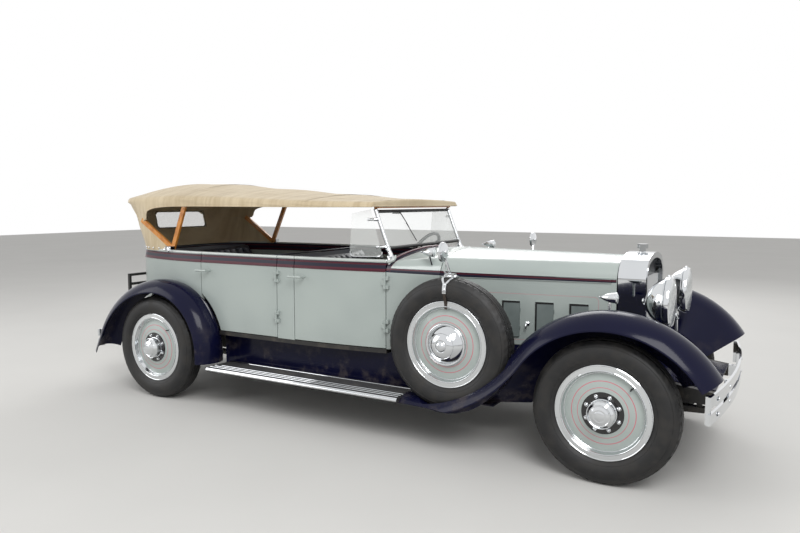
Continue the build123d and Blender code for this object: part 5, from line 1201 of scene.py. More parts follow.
# The window in the curtain: half width, lower edge, upper edge
WINDOW = (0.290, 1.345, 1.490)
CURTAIN_FOOT_Z = 1.1805
CURTAIN_TOP_Z = 1.570
CURTAIN_INSET = -0.0055
ROOF_FRONT_X = 0.300
ROOF_LENGTH = 2.618
FLAP_HEM_Z = 1.535
# Place in a plan's points where the corner ends and the back starts
BACK_PLACE = 60
# The rear slat: station and height of its foot, its run and its rise
SLAT = (-1.690, 1.200, 0.350, 0.230)


def smooth_table(table, x):
    """Values of a table between its rows, on a curve with no corners."""
    rows = sorted(table)
    xs = [row[0] for row in rows]
    x = min(max(x, xs[0]), xs[-1])
    i = min(max(k for k in range(len(xs)) if xs[k] <= x), len(xs) - 2)
    span = xs[i + 1] - xs[i]
    t = (x - xs[i]) / span

    def slope(k, c):
        if k in (0, len(rows) - 1):
            a, b = (0, 1) if k == 0 else (k - 1, k)
            return (rows[b][c] - rows[a][c]) / (xs[b] - xs[a])
        before = (rows[k][c] - rows[k - 1][c]) / (xs[k] - xs[k - 1])
        after = (rows[k + 1][c] - rows[k][c]) / (xs[k + 1] - xs[k])
        return 0.0 if before * after < 0 else 2 * before * after / (before + after + 1e-12)

    out = []
    for c in range(1, len(rows[0])):
        p0, p1 = rows[i][c], rows[i + 1][c]
        m0, m1 = slope(i, c) * span, slope(i + 1, c) * span
        out.append((2 * t ** 3 - 3 * t ** 2 + 1) * p0 + (t ** 3 - 2 * t ** 2 + t) * m0
                   + (3 * t ** 2 - 2 * t ** 3) * p1 + (t ** 3 - t ** 2) * m1)
    return out


def sag_at(x):
    """How far the cloth hangs between the hoops at a station, from 0 to 1."""
    for low, high in zip(HOOPS, HOOPS[1:]):
        if low <= x <= high:
            return math.sin(math.pi * (x - low) / (high - low)) ** 2
    return 0.0


def plan_line(z):
    """Right half of the top's plan at a height: side, corner and back, in like-numbered points."""
    i = 0 if z <= CURTAIN[1][0] else 1
    low, high = CURTAIN[i], CURTAIN[i + 1]
    t = (z - low[0]) / (high[0] - low[0])

    half, side_x = (between(low[n], high[n], t) for n in (1, 2))
    corner, back = ((between(low[n][0], high[n][0], t), -between(low[n][1], high[n][1], t))
                    for n in (3, 4))
    side = [(between(PLAN_START, side_x, k / 20), -half) for k in range(20)]
    across = [(back[0], back[1] * (1 - k / 12)) for k in range(1, 13)]
    return side + arc_points((side_x, -half), corner, back, 40) + across


def plan_at(z, where):
    """Point of that plan at a height, by its place along the line."""
    line = plan_line(z)
    i = min(int(where), len(line) - 2)
    t = where - i
    return Vector([between(line[i][n], line[i + 1][n], t) for n in (0, 1)])


def place_of(x):
    """Place along the plan at the roof's edge of a station."""
    line = plan_line(EDGE_Z)
    if x >= line[0][0]:
        return 0.0
    for i in range(BACK_PLACE):
        if line[i + 1][0] <= x:
            return i + (line[i][0] - x) / (line[i][0] - line[i + 1][0])
    return BACK_PLACE


def curved(first, handle, last, t):
    """A value on the curve from first to last that leans towards a handle."""
    return (1 - t) ** 2 * first + 2 * (1 - t) * t * handle + t ** 2 * last


def roof_row(x, count=34, side_count=7):
    """Points across the roof at a station, from the right lower edge to the left one."""
    half, low, shoulder, crown = smooth_table(ROOF, x)
    sag = trim_settings().sag * sag_at(x)
    where = place_of(x)
    lean = clamp((-1.85 - x) / 0.22)
    lean = lean * lean * (3 - 2 * lean)
    bend = 0.026 + 0.022 * clamp((-2.08 - x) / 0.12)
    foot = plan_at(EDGE_Z, where)
    right = []
    for k in range(side_count + 1):
        share = k / side_count
        z = low + (shoulder - bend - low) * share
        shift = (plan_at(min(z, EDGE_Z), where) - foot) * lean
        belly = math.sin(math.pi * share)
        wave = 0.0022 * math.sin(x * 17.0 + share * 2.0) * belly
        out = (0.004 * sag_at(x) * belly - wave) * (1 - lean) + 0.003 * (1 - share) * lean
        away = Vector((min(0.0, x + 1.95), -0.45)).normalized() * out
        right.append((x + shift.x + away.x, -half + shift.y + away.y, z))
    arc = arc_points((-half, shoulder), (0.0, crown), (half, shoulder), count)
    tip = arc[1]
    for t in (0.2, 0.4, 0.6, 0.8):
        right.append((x, curved(-half, -half + 0.002, tip[0], t),
                      curved(shoulder - bend, shoulder + 0.001, tip[1], t)))
    middle = [(x, y, z - sag * (1 - (y / half) ** 2)) for y, z in arc[1:-1]]
    left = [(px, -y, z) for px, y, z in reversed(right)]
    return right + middle + left


def back_rows(last, side_count=7):
    """Rows of the roof's rear flap, from its last row across down to its hem."""
    top = side_count + 4
    crown = last[top:len(last) - top]
    shift = Vector(last[top][:2]) - plan_at(EDGE_Z, BACK_PLACE)
    rows = []
    for level in range(1, top + 1):
        end = last[top - level]
        share = (last[top][2] - end[2]) / (last[top][2] - last[0][2])
        row = [end]
        for k, (*_, z) in enumerate(crown[1:-1], 1):
            across = 1 - 2 * k / (len(crown) - 1)
            height = between(z, between(FLAP_HEM_Z, last[0][2], across ** 2), share)
            base = plan_at(min(height, EDGE_Z), BACK_PLACE)
            edge = min(1.0, share * 6)
            row.append((base.x + shift.x - (0.004 + 0.003 * share) * edge,
                        (base.y + shift.y) * across, height))
        rows.append(row + [(end[0], -end[1], end[2])])
    return [crown] + rows


def quarter_line(z):
    """Station of the quarter's front edge at a height: it follows the rear slat."""
    x0, z0, run, rise = SLAT
    return x0 - (z - z0) * run / rise


def curtain_row(z, out=0.0, side_count=26, back_count=10):
    """Points round the rear curtain at a height, from the right quarter to the left one."""
    front = quarter_line(z)
    line = plan_line(z)
    kept = [p for p in line if p[0] < front]
    before = line[len(line) - len(kept) - 1] if len(kept) < len(line) else (front, line[0][1])
    t = (before[0] - front) / (before[0] - kept[0][0])
    line = [(front, before[1] + (kept[0][1] - before[1]) * t)] + kept
    edge_y = -WINDOW[0]
    first = [p for p in line if p[1] < edge_y]
    second = [p for p in line if p[1] > edge_y]
    t = (edge_y - first[-1][1]) / (second[0][1] - first[-1][1])
    meet = (first[-1][0] + (second[0][0] - first[-1][0]) * t, edge_y)
    half_row = even_line(first + [meet], side_count) + even_line([meet] + second, back_count)[1:]
    puffed = []
    for k, (x, y) in enumerate(half_row):
        share = k / (len(half_row) - 1)
        rise = math.sin(math.pi * clamp((z - CURTAIN_FOOT_Z) / 0.25))
        puff = out + 0.0030 * math.sin(share * 19.0 + z * 8.0) * rise
        puff -= 0.0040 * clamp((z - 1.37) / 0.05)
        away = Vector((x + 1.9, y, 0)).normalized() if x < -1.95 else Vector((0, -1, 0))
        puffed.append((x + away.x * puff, y + away.y * puff, z))
    return puffed + [(x, -y, z) for x, y, z in reversed(puffed[:-1])]


def even_line(points, count):
    """The same line divided into equal parts."""
    lengths = [0.0]
    for a, b in zip(points, points[1:]):
        lengths.append(lengths[-1] + math.hypot(b[0] - a[0], b[1] - a[1]))
    out = []
    for k in range(count + 1):
        goal = lengths[-1] * k / count
        i = next((n for n in range(len(lengths) - 1) if lengths[n + 1] >= goal - 1e-9),
                 len(lengths) - 2)
        t = (goal - lengths[i]) / (lengths[i + 1] - lengths[i] or 1.0)
        out.append(tuple(between(points[i][n], points[i + 1][n], t) for n in (0, 1)))
    return out


def thicken(item, thickness):
    """Gives a net of cloth its thickness, inwards."""
    edit = bmesh.new()
    edit.from_mesh(item.data)
    bmesh.ops.remove_doubles(edit, verts=edit.verts, dist=0.0001)
    bmesh.ops.recalc_face_normals(edit, faces=edit.faces)
    if sum(face.normal.z * face.calc_area() for face in edit.faces) < 0:
        bmesh.ops.reverse_faces(edit, faces=edit.faces)
    bmesh.ops.solidify(edit, geom=list(edit.faces), thickness=thickness)
    edit.to_mesh(item.data)
    edit.free()
    item.data.shade_smooth()
    item.data.set_sharp_from_angle(angle=math.radians(50))


def window_film(shader):
    """Slightly yellowed clear sheet in the rear curtain."""
    colour = mottled(shader, 6, 3, srgb(216, 212, 190), srgb(196, 190, 166))
    return shader.surface(base_color=colour, roughness=0.12, alpha=0.25)


class BuildCanvas(bpy.types.Operator):
    """The stretched top with its valance, the rear curtain with its window, seams and binding"""
    bl_idname = "touring.build_canvas"
    bl_label = "Canvas Top"

    def execute(self, context):
        cloth = finish_of("canvas", canvas_cloth)
        plate = finish_of("bright_metal", chrome)
        dark = finish_of("dark_gap", dark_gap)
        rows = [roof_row(ROOF_FRONT_X - ROOF_LENGTH * k / 92) for k in range(93)]
        fold = []
        for ahead, drop in ((0.0035, 0.10), (0.0055, 0.35), (0.0060, 1.0)):
            fold.insert(0, [(x + ahead, y, z - max(0.0, z - 1.550) * drop) for x, y, z in rows[0]])
        roof = Shape().grid(fold + rows).grid(back_rows(rows[-1]))
        roof = roof.build("canvas_roof", CHASSIS, "canvas", cloth)
        thicken(roof, 0.004)

        half, z0, z1 = WINDOW
        heights = [CURTAIN_FOOT_Z]
        for low, high, steps in ((CURTAIN_FOOT_Z, z0, 8), (z0, z1, 8), (z1, CURTAIN_TOP_Z, 5)):
            heights += [low + (high - low) * k / steps for k in range(1, steps + 1)]
        net = [curtain_row(z, CURTAIN_INSET) for z in heights]
        curtain = Shape().grid(net)
        width = len(net[0]) - 1
        curtain.faces = [face for k, face in enumerate(curtain.faces)
                         if not (8 <= k // width < 16 and abs(k % width - (width - 1) / 2) < 10)]
        curtain = curtain.build("canvas_curtain", CHASSIS, "canvas", cloth)
        thicken(curtain, 0.0035)
        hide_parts("top_canvas")
        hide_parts("top_canvas")

        binding = Shape()
        hem = [row[0] for row in rows[::2]] + back_rows(rows[-1])[-1]
        hem += [row[-1] for row in rows[::-2]]
        binding.tube(hem, 0.0044, 8)
        binding.tube([(ROOF_FRONT_X + 0.0065, ROOF[0][1] * k / 20, 1.551)
                      for k in range(-20, 21)], 0.0048, 8)
        for end in (0, -1):
            binding.tube([(row[end][0] + 0.002, *row[end][1:]) for row in net], 0.0046, 8)
        binding.tube([(x, y, z + 0.004) for x, y, z in net[0]], 0.0040, 8)
        bound = binding.build("canvas_binding", CHASSIS, "canvas", cloth, 60)

        seams = Shape()
        for share in (0.30, 0.70):
            column = round((len(rows[0]) - 1) * share)
            seams.grid([[Vector(row[column + k]) + Vector((0, 0, 0.0006 if k else 0.0016))
                         for k in (-1, 0, 1)] for row in rows[:72]])
        for x in (HOOPS[1], HOOPS[3]):
            seams.grid([[Vector(p) + Vector((dx, 0, 0.0016)) for p in roof_row(x + dx)[9:-9]]
                        for dx in (-0.010, 0.0, 0.010)])
        sewn = seams.build("canvas_seams", CHASSIS, "canvas", cloth, 60)

        snaps = Shape()
        for k, (x, y, z) in enumerate(curtain_row(1.2, 0.0, 60, 24)):
            if k % 6 == 3:
                away = Vector((0, math.copysign(1, y), 0))
                if x < -1.95:
                    away = Vector((x + 1.75, y, 0)).normalized()
                at = (x + away.x * 0.0035, y + away.y * 0.0035, z)
                snaps.dome(at, away, 0.0075, 0.0035, 12, 3)
        studs = snaps.build("curtain_snaps", CHASSIS, "bright_metal", plate)

        edge, bend = [], 0.030
        for cy, cz, start in ((-half + bend, z0 + bend, 180), (half - bend, z0 + bend, 270),
                              (half - bend, z1 - bend, 0), (-half + bend, z1 - bend, 90)):
            for k in range(7):
                a = math.radians(start + 15 * k)
                y, z = cy + bend * math.cos(a), cz + bend * math.sin(a)
                edge.append((curtain_x(y, z) - 0.003, y, z))
        window_edge = Shape().tube(edge + edge[:2], 0.0050, 8).build(
            "window_binding", CHASSIS, "canvas", dark)
        pane = [[(curtain_x(half * (c / 8 - 1), z0 + (z1 - z0) * r / 6) + 0.003,
                  (half + 0.012) * (c / 8 - 1), z0 - 0.010 + (z1 - z0 + 0.020) * r / 6)
                 for c in range(17)] for r in range(7)]
        film = Shape().grid(pane).build("window_film", CHASSIS, "glass",
                                        finish_of("window_film", window_film))
        thicken(film, 0.0012)
        return {"FINISHED"}


def curtain_x(y, z):
    """Station of the curtain's back at a point across and up."""
    row = curtain_row(min(max(z, 1.19), CURTAIN_TOP_Z), CURTAIN_INSET)
    near = sorted(row, key=lambda p: abs(p[1] - y))[:2]
    return sum(p[0] for p in near) / 2


# Front and rear bench, as (x, z): the back's foot and head, the cushion's rear and front; then
# half width and how far the back's ends come forward
BENCHES = (
    ("front", (-0.480, 0.915), (-0.602, 1.150), (-0.425, 0.838), (0.012, 0.842), 0.572, 0.0),
    ("rear", (-1.868, 0.915), (-2.000, 1.150), (-1.800, 0.838), (-1.292, 0.842), 0.560, 0.10))
# Section of each bench's back shell as (x, z), where a height of 0 stands for the bench's foot
SHELLS = {
    "front": ((-0.525, 0), (-0.532, 0.80), (-0.668, 1.150), (-0.642, 1.166), (-0.632, 1.120),
              (-0.490, 0.80)),
    "rear": ((-1.818, 0), (-1.888, 0.90), (-2.062, 1.160), (-2.040, 1.166), (-2.030, 1.120),
             (-1.838, 0.80)),
}
PAD_THICKNESS = 0.125
CLOTH_PRESSURE = 4.0
CLOTH_FRAMES = 20


def wrapped(wrap, y):
    """How far the ends of a bench's back come forward."""
    return wrap * (max(0.0, abs(y) - 0.22) / 0.34) ** 2


def mesh_after(item):
    """The item's mesh with its modifiers worked in, which are then taken off."""
    graph = bpy.context.evaluated_depsgraph_get()
    done = bpy.data.meshes.new_from_object(item.evaluated_get(graph))
    item.modifiers.clear()
    return done


def swell(item, reach):
    """Pumps a pad up as cloth, no point moving further than reach."""
    start = [vertex.co.copy() for vertex in item.data.vertices]
    cloth = item.modifiers.new("cloth", "CLOTH")
    cloth.settings.use_pressure = True
    cloth.settings.uniform_pressure_force = CLOTH_PRESSURE
    cloth.settings.effector_weights.gravity = 0.0
    for step in range(1, CLOTH_FRAMES + 1):
        bpy.context.scene.frame_set(step)
    item.data = mesh_after(item)
    bpy.context.scene.frame_set(1)
    for vertex, at in zip(item.data.vertices, start):
        move = vertex.co - at
        if move.length > reach:
            vertex.co = at + move * (reach / move.length)


def pad(name, foot, head, half, thick, wrap, pleat):
    """One upholstered pad from its foot to its head, pleated on the side that is sat on."""
    foot, head = Vector((foot[0], 0, foot[1])), Vector((head[0], 0, head[1]))
    along = (head - foot).normalized()
    up = Vector((0, 1, 0)).cross(along) * -1
    if up.z < 0:
        up = -up
    length = (head - foot).length
    inset = 0.014
    deep = thick / 2 - inset
    block = Shape().box((0.0, inset - half, -deep), (length, half - inset, deep))
    item = block.build(name, CHASSIS, "seat_leather", finish_of("seat_leather", seat_leather))
    remesh = item.modifiers.new("remesh", "REMESH")
    remesh.mode = "VOXEL"
    remesh.voxel_size = 0.015
    item.data = mesh_after(item)
    edit = bmesh.new()
    edit.from_mesh(item.data)
    for _ in range(4):
        bmesh.ops.smooth_vert(edit, verts=edit.verts, factor=0.5, use_axis_x=True, use_axis_y=True,
                              use_axis_z=True)
    edit.to_mesh(item.data)
    edit.free()
    swell(item, 0.022)
    finer = item.modifiers.new("finer", "SUBSURF")
    finer.levels = 1
    item.data = mesh_after(item)
    for vertex in item.data.vertices:
        s, y, t = vertex.co
        near = clamp((half - 0.05 - abs(y)) / 0.05)
        ends = clamp((s - 0.035) / 0.04) * clamp((length - 0.035 - s) / 0.04)
        top = clamp(t / (thick * 0.35))
        ridge = 1 - abs(math.sin(math.pi * y / pleat))
        t += (0.0045 - 0.014 * ridge ** 3) * near * ends * top
        t -= 0.006 * (1 - ends) * top * (1 - abs(2 * s / length - 1) ** 8)
        at = foot + along * s + up * t
        vertex.co = (at.x + wrapped(wrap, y), y, at.z)
    item.data.shade_smooth()
    return item


class BuildSeats(bpy.types.Operator):
    """Pleated cushions and backs on both benches, swollen as cloth, over their trimmed boxes"""
    bl_idname = "touring.build_seats"
    bl_label = "Seats"

    def execute(self, context):
        hide = finish_of("seat_leather", seat_leather)
        pleat = trim_settings().pleat
        for name, foot, head, rear, front, half, wrap in BENCHES:
            node = f"seat_{name}"
            low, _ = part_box(node)
            back = pad(f"{node}_back", foot, head, half, PAD_THICKNESS, wrap, pleat)
            seat = pad(f"{node}_cushion", rear, front, half + 0.012, PAD_THICKNESS, 0.0, pleat)
            box, shell, piping = Shape(), Shape(), Shape()
            box.box((rear[0] - 0.01, -half, low.z + 0.001), (front[0] + 0.012, half, 0.785))
            across = [(half - 0.01) * (k / 8 - 1) for k in range(17)]
            shell.grid([[(x + wrapped(wrap, y), y, z or low.z + 0.001) for x, z in SHELLS[name]]
                        for y in across])
            across = [half * k / 12 for k in range(-12, 13)]
            piping.tube([(front[0] + 0.026, y, 0.868) for y in across], 0.006, 8)
            piping.tube([(head[0] - 0.048 + wrapped(wrap, y), y, 1.176) for y in across], 0.006, 8)
            base = box.build(f"{node}_base", CHASSIS, "seat_leather", hide)
            shell.build(f"{node}_shell", CHASSIS, "seat_leather", hide)
            piping.build(f"{node}_piping", CHASSIS, "seat_leather", hide)
            for item in (back, seat, base):
                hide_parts(node)
        return {"FINISHED"}


# The windshield's plane as (x, z): its foot, its rise from foot to top, and straight ahead of it
SHIELD_FOOT = (0.400, 1.190)
SHIELD_RISE = (-0.131, 0.338)
SHIELD_AHEAD = (0.932, 0.361)


def shield(share, y, ahead=0.0):
    """A point up the windshield's plane, from its foot to its top."""
    x, z = (SHIELD_FOOT[n] + SHIELD_RISE[n] * share + SHIELD_AHEAD[n] * ahead for n in (0, 1))
    return (x, y, z)


def rubber_seal(shader):
    """Black rubber strip round glass."""
    return shader.surface(base_color=mottled(shader, 40, 2, srgb(16, 16, 17), srgb(30, 30, 31)),
                          roughness=0.5)


class BuildWindshield(bpy.types.Operator):
    """Seals, post clamps, wing-pane edges and wiper of the windshield"""
    bl_idname = "touring.build_windshield"
    bl_label = "Windshield Fittings"

    def execute(self, context):
        plate, rubber = finish_of("bright_metal", chrome), finish_of("rubber_seal", rubber_seal)
        seal = Shape()
        for share, radius in ((0.22, 0.0118), (0.96, 0.0116)):
            seal.tube([shield(share, 0.545 * k / 10) for k in range(-10, 11)], radius, 12)
        seal.tube([(0.404 - 0.010 * (k / 10) ** 2, 0.555 * k / 10, 1.243 - 0.045 * (k / 10) ** 2)
                   for k in range(-10, 11)], 0.0075, 8)
        seal.build("windshield_seal", CHASSIS, "board_rubber", rubber)

        fitting = Shape()
        outward = (0, -1, 0)
        fitting.tube([shield(share, -0.560) for share in (-0.06, 0.02, 0.10, 0.16)],
                     [0.0165, 0.0190, 0.0175, 0.0145], 14)
        fitting.lathe(shield(0.05, -0.578), outward, ((0.0001, 0.012), (0.010, 0.011),
                                                      (0.0135, 0.007), (0.0135, 0.0),
                                                      (0.0135, -0.012)), 16)
        fitting.tube([(0.405, -0.606, 1.168), (0.402, -0.600, 1.196), shield(0.06, -0.592)],
                     [0.0150, 0.0105, 0.0115], 12)
        fitting.dome((0.405, -0.612, 1.166), outward, 0.0155, 0.010, 16)
        fitting.tube([shield(0.17, -0.578), shield(0.22, -0.584)], 0.0085, 10)
        for share in (0.25, 0.80):
            x, y, z = shield(share, -0.560)
            fitting.tube([(x, y, z), (x - 0.020, -0.590, z), (x - 0.052, -0.598, z)],
                         [0.013, 0.0105, 0.0095], 12)
            fitting.dome((x - 0.055, -0.606, z), outward, 0.0110, 0.0060, 14)
            fitting.dome((x - 0.030, -0.606, z), outward, 0.0070, 0.0045, 12)
        fitting.dome(shield(1.0, -0.560), (-0.36, 0, 0.93), 0.0145, 0.010, 14)
        for share in (0.90, 0.86):
            fitting.dome(shield(share, -0.572), outward, 0.0085, 0.008, 12)
        edge = [(0.093, 1.238), (0.088, 1.220), (0.096, 1.206), (0.116, 1.2005), (0.200, 1.2030),
                (0.300, 1.2070), (0.328, 1.2095), (0.343, 1.220), (0.345, 1.240)]
        fitting.tube([(x, -0.603, z) for x, z in edge], 0.0068, 10)
        fitting.doubled().build("windshield_fittings", CHASSIS, "bright_metal", plate)

        wiper = Shape()
        pivot = Vector(shield(0.935, -0.265, 0.012))
        foot = Vector(shield(0.50, -0.190, 0.012))
        wiper.tube([pivot, pivot.lerp(foot, 0.5) + Vector((0.004, 0, 0)), foot],
                   [0.0042, 0.0030, 0.0026], 8)
        wiper.tube([foot.lerp(pivot, -0.45), foot, foot.lerp(pivot, 0.45)], 0.0050, 8, 0.5)
        wiper.box((pivot.x - 0.045, -0.290, pivot.z - 0.016),
                  (pivot.x - 0.012, -0.240, pivot.z + 0.014))
        wiper.build("wiper", CHASSIS, "black_paint", rubber)
        return {"FINISHED"}


def worn_strap(shader):
    """Dark strap leather with pale scuffs."""
    return shader.surface(base_color=mottled(shader, 60, 3, srgb(30, 24, 20), srgb(62, 50, 40)),
                          roughness=0.6)


def ribbon(shape, path, across, thick):
    """A flat strap along a path, with its width along a fixed direction."""
    path, across = [Vector(p) for p in path], Vector(across)
    rows = []
    for i, at in enumerate(path):
        ahead = (path[min(i + 1, len(path) - 1)] - path[max(i - 1, 0)]).normalized()
        up = ahead.cross(across).normalized() * (thick / 2)
        rows.append([at - across + up, at + across + up, at + across - up, at - across - up])
    shape.grid(rows, True)
    shape.add(rows[0], [(0, 1, 2, 3)])
    shape.add(rows[-1], [(3, 2, 1, 0)])


# Lamps on the left side and the nut on the headlamps' tie bar
HEADLAMP = (2.166, 0.342, 0.991)
SMALL_LAMPS = ((1.879, 0.620, 1.035), (0.660, 0.520, 1.245))
TAIL_LAMP = (-2.440, 0.6175, 0.486)
TIE_BAR_X = 2.0985
TIE_BAR_Z = 0.822
# Sections of the lamps' rims and glasses: distance from the lamp's axis, distance along it
HEAD_RIM = ((0.1475, -0.020), (0.1530, -0.018), (0.1535, -0.004), (0.1505, 0.006),
            (0.1440, 0.0105), (0.1370, 0.0095), (0.1360, 0.002))
HEAD_BEAD = ((0.1490, -0.030), (0.1512, -0.028), (0.1512, -0.024), (0.1490, -0.022))
HEAD_GLASS = ((0.1385, 0.0085), (0.120, 0.0130), (0.090, 0.0175), (0.050, 0.0208),
              (0.0001, 0.0220))
SMALL_RIM = ((0.0295, -0.008), (0.0325, -0.006), (0.0325, 0.002), (0.0290, 0.005),
             (0.0270, 0.004))
SMALL_GLASS = ((0.0275, 0.003), (0.018, 0.009), (0.0001, 0.012))
TIE_BAR_NUT = ((0.0100, -0.012), (0.0150, -0.010), (0.0150, 0.010), (0.0100, 0.012))
TAIL_GLASS = ((0.0385, -0.002), (0.034, 0.006), (0.022, 0.011), (0.0001, 0.013))
TAIL_RIM = ((0.0452, -0.010), (0.0470, -0.008), (0.0470, 0.002), (0.0430, 0.006),
            (0.0380, 0.004))


class BuildLamps(bpy.types.Operator):
    """Rims, glasses and nuts of the headlamps, small lamps and tail lamps"""
    bl_idname = "touring.build_lamps"
    bl_label = "Lamps"

    def execute(self, context):
        plate, glass = finish_of("bright_metal", chrome), finish_of("lamp_glass", lens_glass)
        red = finish_of("red_glass", red_lens)
        bright, lens, tail = Shape(), Shape(), Shape()
        ahead, behind = (1, 0, 0), (-1, 0, 0)
        for way in (-1, 1):
            x, y, z = HEADLAMP
            y *= way
            bright.lathe((x, y, z), ahead, HEAD_RIM, 72)
            bright.lathe((x, y, z), ahead, HEAD_BEAD, 72)
            bright.dome((x - 0.014, y, z + 0.155), (0, 0, 1), 0.010, 0.008, 14)
            bright.dome((x - 0.152, y, z), behind, 0.020, 0.012, 20)
            lens.lathe((x, y, z), ahead, HEAD_GLASS, 64)
            bright.dome((TIE_BAR_X, y, TIE_BAR_Z - 0.024), (0, 0, -1), 0.022, 0.012, 16)
            bright.lathe((TIE_BAR_X, y - way * 0.042, TIE_BAR_Z), (0, way, 0), TIE_BAR_NUT, 16)
            for x, y, z in SMALL_LAMPS:
                y *= way
                bright.lathe((x + 0.0384, y, z), ahead, SMALL_RIM, 32)
                lens.lathe((x + 0.0384, y, z), ahead, SMALL_GLASS, 32)
                bright.dome((x - 0.0560, y, z), behind, 0.0060, 0.006, 12)
            x, y, z = TAIL_LAMP
            tail.lathe((x, way * y, z), behind, TAIL_GLASS, 32)
            bright.lathe((x, way * y, z), behind, TAIL_RIM, 36)
        bright.build("lamp_rims", CHASSIS, "bright_metal", plate)
        item = lens.build("lamp_glasses", CHASSIS, "glass", glass)
        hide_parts("lamp_lenses")
        tail.build("tail_glasses", CHASSIS, "glass", red)
        return {"FINISHED"}


class BuildSpareFittings(bpy.types.Operator):
    """Hold-down bracket and strap over each spare wheel, and the mirror glasses on them"""
    bl_idname = "touring.build_spare_fittings"
    bl_label = "Spare Straps and Mirrors"

    def execute(self, context):
        plate = finish_of("bright_metal", chrome)
        x, y, z = SPARE_CENTRE
        bright, strap, mirror = Shape(), Shape(), Shape()

        def face(radius, out, dx=0.0):
            return (x + dx, -(y + out), z + radius)
        for dx in (-0.036, 0.036):
            ribbon(bright, [face(radius, out, dx * share) for radius, out, share in (
                (0.4155, -0.030, 1.0), (0.4150, 0.010, 0.95), (0.4090, 0.050, 0.8),
                (0.3960, 0.068, 0.55), (0.3800, 0.080, 0.22))], (0.0075, 0, 0), 0.005)
        bright.box((x - 0.046, -(y + 0.030), z + 0.4150), (x + 0.046, -(y - 0.030), z + 0.4200))
        for dx in (-0.034, 0.034):
            bright.dome((x + dx, -y, z + 0.4190), (0, 0, 1), 0.0120, 0.0120, 14)
        bright.dome((x, -(y + 0.014), z + 0.4190), (0, 0, 1), 0.0150, 0.0100, 16)
        ribbon(bright, [face(*at) for at in ((0.3840, 0.0790), (0.3650, 0.0875),
                                             (0.3390, 0.0915), (0.3200, 0.0910))],
               (0.0125, 0, 0), 0.004)
        for radius, out in ((0.372, 0.0870), (0.346, 0.0935)):
            bright.dome(face(radius, out), (0, -1, 0.15), 0.0080, 0.0050, 12)
        ribbon(strap, [face(*at) for at in ((0.3230, 0.0890), (0.3000, 0.0860), (0.2760, 0.0760),
                                            (0.2550, 0.0680), (0.2350, 0.0640),
                                            (0.2200, 0.0630))], (0.0090, 0, 0), 0.004)
        hx, hy, hz = x - 0.018, -(y + 0.065), z + 0.573
        mirror.lathe((hx - 0.008, hy, hz), (-1, 0, 0),
                     ((0.0560, 0.0004), (0.0400, 0.0010), (0.0001, 0.0014)), 48)
        bright.lathe((hx, hy, hz), (1, 0, 0), (
            (0.0560, -0.0100), (0.0605, -0.0105), (0.0618, -0.006), (0.0610, 0.003),
            (0.0540, 0.0085), (0.0350, 0.0125), (0.0120, 0.0145), (0.0001, 0.0150)), 48)
        bright.dome((hx + 0.014, hy, hz), (1, 0, 0), 0.0120, 0.0090, 14)
        bright.tube([(x - 0.012, -(y + 0.042), z + 0.512), (x - 0.030, -(y + 0.030), z + 0.452),
                     (x - 0.020, -(y + 0.010), z + 0.424)], 0.0042, 8)
        for group in (bright, strap, mirror):
            group.doubled()
        bright.build("spare_clamps", CHASSIS, "bright_metal", plate)
        strap.build("spare_straps", CHASSIS, "tyre_rubber", finish_of("worn_strap", worn_strap))
        mirror.build("mirror_glasses", CHASSIS, "glass", finish_of("mirror_glass", mirror_glass))
        return {"FINISHED"}


def mirror_glass(shader):
    """Silvered glass."""
    return shader.surface(
        base_color=mottled(shader, 12, 2, srgb(206, 210, 212), srgb(188, 192, 196)),
        metallic=1.0, roughness=0.03)


# Gauges in the dashboard: how far to the left, and radius
GAUGES = ((-0.10, 0.034), (0.0, 0.044), (0.10, 0.034), (0.185, 0.022), (-0.185, 0.022))


class BuildCockpit(bpy.types.Operator):
    """Instruments, switches, levers, pedals and horn button"""
    bl_idname = "touring.build_cockpit"
    bl_label = "Cockpit"

    def execute(self, context):
        plate, black = finish_of("bright_metal", chrome), finish_of("rubber_seal", rubber_seal)
        bezels, dark = Shape(), Shape()
        wheel_low, wheel_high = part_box("steering_wheel")
        hub = (wheel_low + wheel_high) / 2
        behind = (-1, 0, 0)
        for y, radius in GAUGES:
            centre = (DASH_FACE_X, y, 1.165)
            bezels.lathe(centre, behind, ((radius, -0.004), (radius, 0.006), (radius * 0.92, 0.009),
                                          (radius * 0.86, 0.006)), 32)
            face = Shape().lathe(centre, behind, ((radius * 0.88, 0.003), (0.0001, 0.0035)), 32)
            face.build(f"dial_{'rl'[y > 0]}{abs(int(y * 1000))}", CHASSIS, "glass",
                       finish_of(f"dial_{y}", lambda s: dial_face(s, centre, radius)))
        for k in range(4):
            bezels.dome((DASH_FACE_X - 0.002, -0.06 + 0.04 * k, 1.100), behind, 0.0085, 0.012, 14)
        axis = Vector((-math.cos(math.radians(40)), 0, math.sin(math.radians(40))))
        dark.tube([(0.235, 0.02, 0.600), (0.215, 0.02, 0.720), (0.150, 0.03, 0.900),
                   (0.120, 0.03, 0.960)], [0.011, 0.009, 0.007, 0.007], 10)
        dark.dome((0.118, 0.03, 0.962), (-0.4, 0, 0.9), 0.0220, 0.026, 18, 6)
        dark.tube([(0.330, -0.10, 0.600), (0.300, -0.10, 0.740), (0.262, -0.10, 0.880)],
                  [0.011, 0.008, 0.008], 10)
        for y in (0.24, 0.36, 0.44):
            dark.tube([(0.560, y, 0.620), (0.500, y, 0.700)], 0.0080, 8)
            dark.box((0.484, y - 0.028, 0.690), (0.496, y + 0.028, 0.748))
        bezels.build("dash_bezels", CHASSIS, "bright_metal", plate)
        dark.build("levers", CHASSIS, "black_paint", black)
        button = Shape().dome(hub + axis * 0.02, axis, 0.026, 0.014, 24)
        button.build("horn_button", "steering_wheel_body", "black_paint", black)
        return {"FINISHED"}


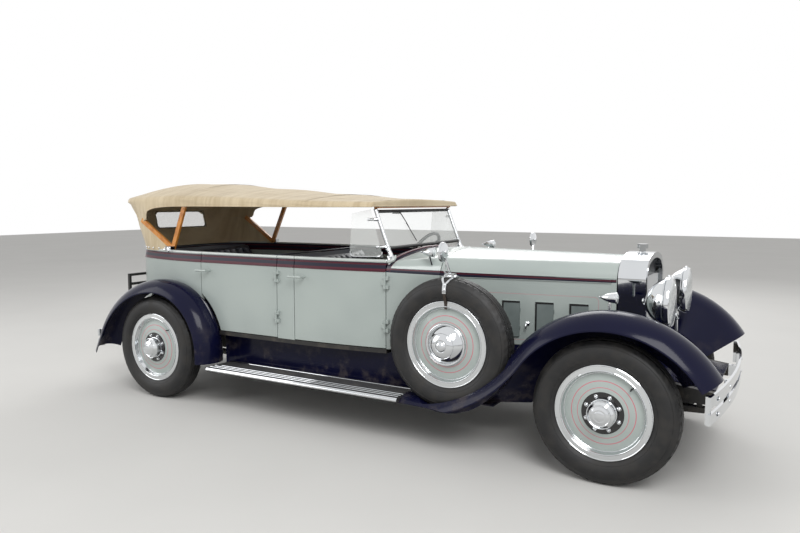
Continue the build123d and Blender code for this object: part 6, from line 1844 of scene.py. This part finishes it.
class BuildFittings(bpy.types.Operator):
    """Nuts on the top's pivots and bolts on the front bumper"""
    bl_idname = "touring.build_fittings"
    bl_label = "Small Fittings"

    def execute(self, context):
        plate = finish_of("bright_metal", chrome)
        bright = Shape()
        for way in (-1, 1):
            for z in (1.200, 1.188):
                bright.dome((-1.650, way * 0.676, z), (0, way, 0), 0.0150, 0.0090, 16)
            bright.dome((-1.630, way * 0.676, 1.209), (0, way, 0), 0.0070, 0.0050, 10)
            bright.tube([(-1.712, way * 0.664, 1.193), (-1.640, way * 0.672, 1.189),
                         (-1.600, way * 0.690, 1.186)], 0.0065, 8)
            for z in (0.470, 0.552):
                for y in (0.400, 0.700):
                    bumper_x = 2.520 - 0.060 * (y / 0.85) ** 2
                    bright.dome((bumper_x - 0.004, way * y, z), (1, 0, 0), 0.0130, 0.0080, 14)
        bright.build("fitting_nuts", CHASSIS, "bright_metal", plate)
        return {"FINISHED"}


class TouringPanel(bpy.types.Panel):
    """The car's settings and the steps that dress it"""
    bl_idname = "VIEW3D_PT_touring"
    bl_label = "Touring Car"
    bl_space_type = "VIEW_3D"
    bl_region_type = "UI"
    bl_category = "Touring Car"

    def draw(self, context):
        for settings in (context.scene.touring_paint, context.scene.touring_trim,
                         context.scene.touring_view):
            box = self.layout.box()
            for key in settings.__annotations__:
                box.prop(settings, key)
        for operator in OPERATORS:
            self.layout.operator(operator.bl_idname)


OPERATORS = (BuildStage, PaintSolids, BuildTyres, BuildWheelTrim, BuildBelt, BuildHoodDetail,
             BuildBoards, BuildCanvas, BuildSeats, BuildWindshield, BuildLamps, BuildSpareFittings,
             BuildCockpit, BuildFittings)
GROUPS = (TouringPaint, TouringTrim, TouringView)


def register():
    for item in (*GROUPS, *OPERATORS, TouringPanel):
        bpy.utils.register_class(item)
    bpy.types.Scene.touring_paint = bpy.props.PointerProperty(type=TouringPaint)
    bpy.types.Scene.touring_trim = bpy.props.PointerProperty(type=TouringTrim)
    bpy.types.Scene.touring_view = bpy.props.PointerProperty(type=TouringView)


def unregister():
    del bpy.types.Scene.touring_paint, bpy.types.Scene.touring_trim, bpy.types.Scene.touring_view
    for item in reversed((*GROUPS, *OPERATORS, TouringPanel)):
        bpy.utils.unregister_class(item)


def main():
    """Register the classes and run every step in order."""
    register()
    for operator in OPERATORS:
        group, _, step = operator.bl_idname.partition(".")
        getattr(getattr(bpy.ops, group), step)()
    boxes = [[list(map(float, corner)) for corner in box] for box in (CAD_BOX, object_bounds())]


if __name__ == "__main__":
    main()
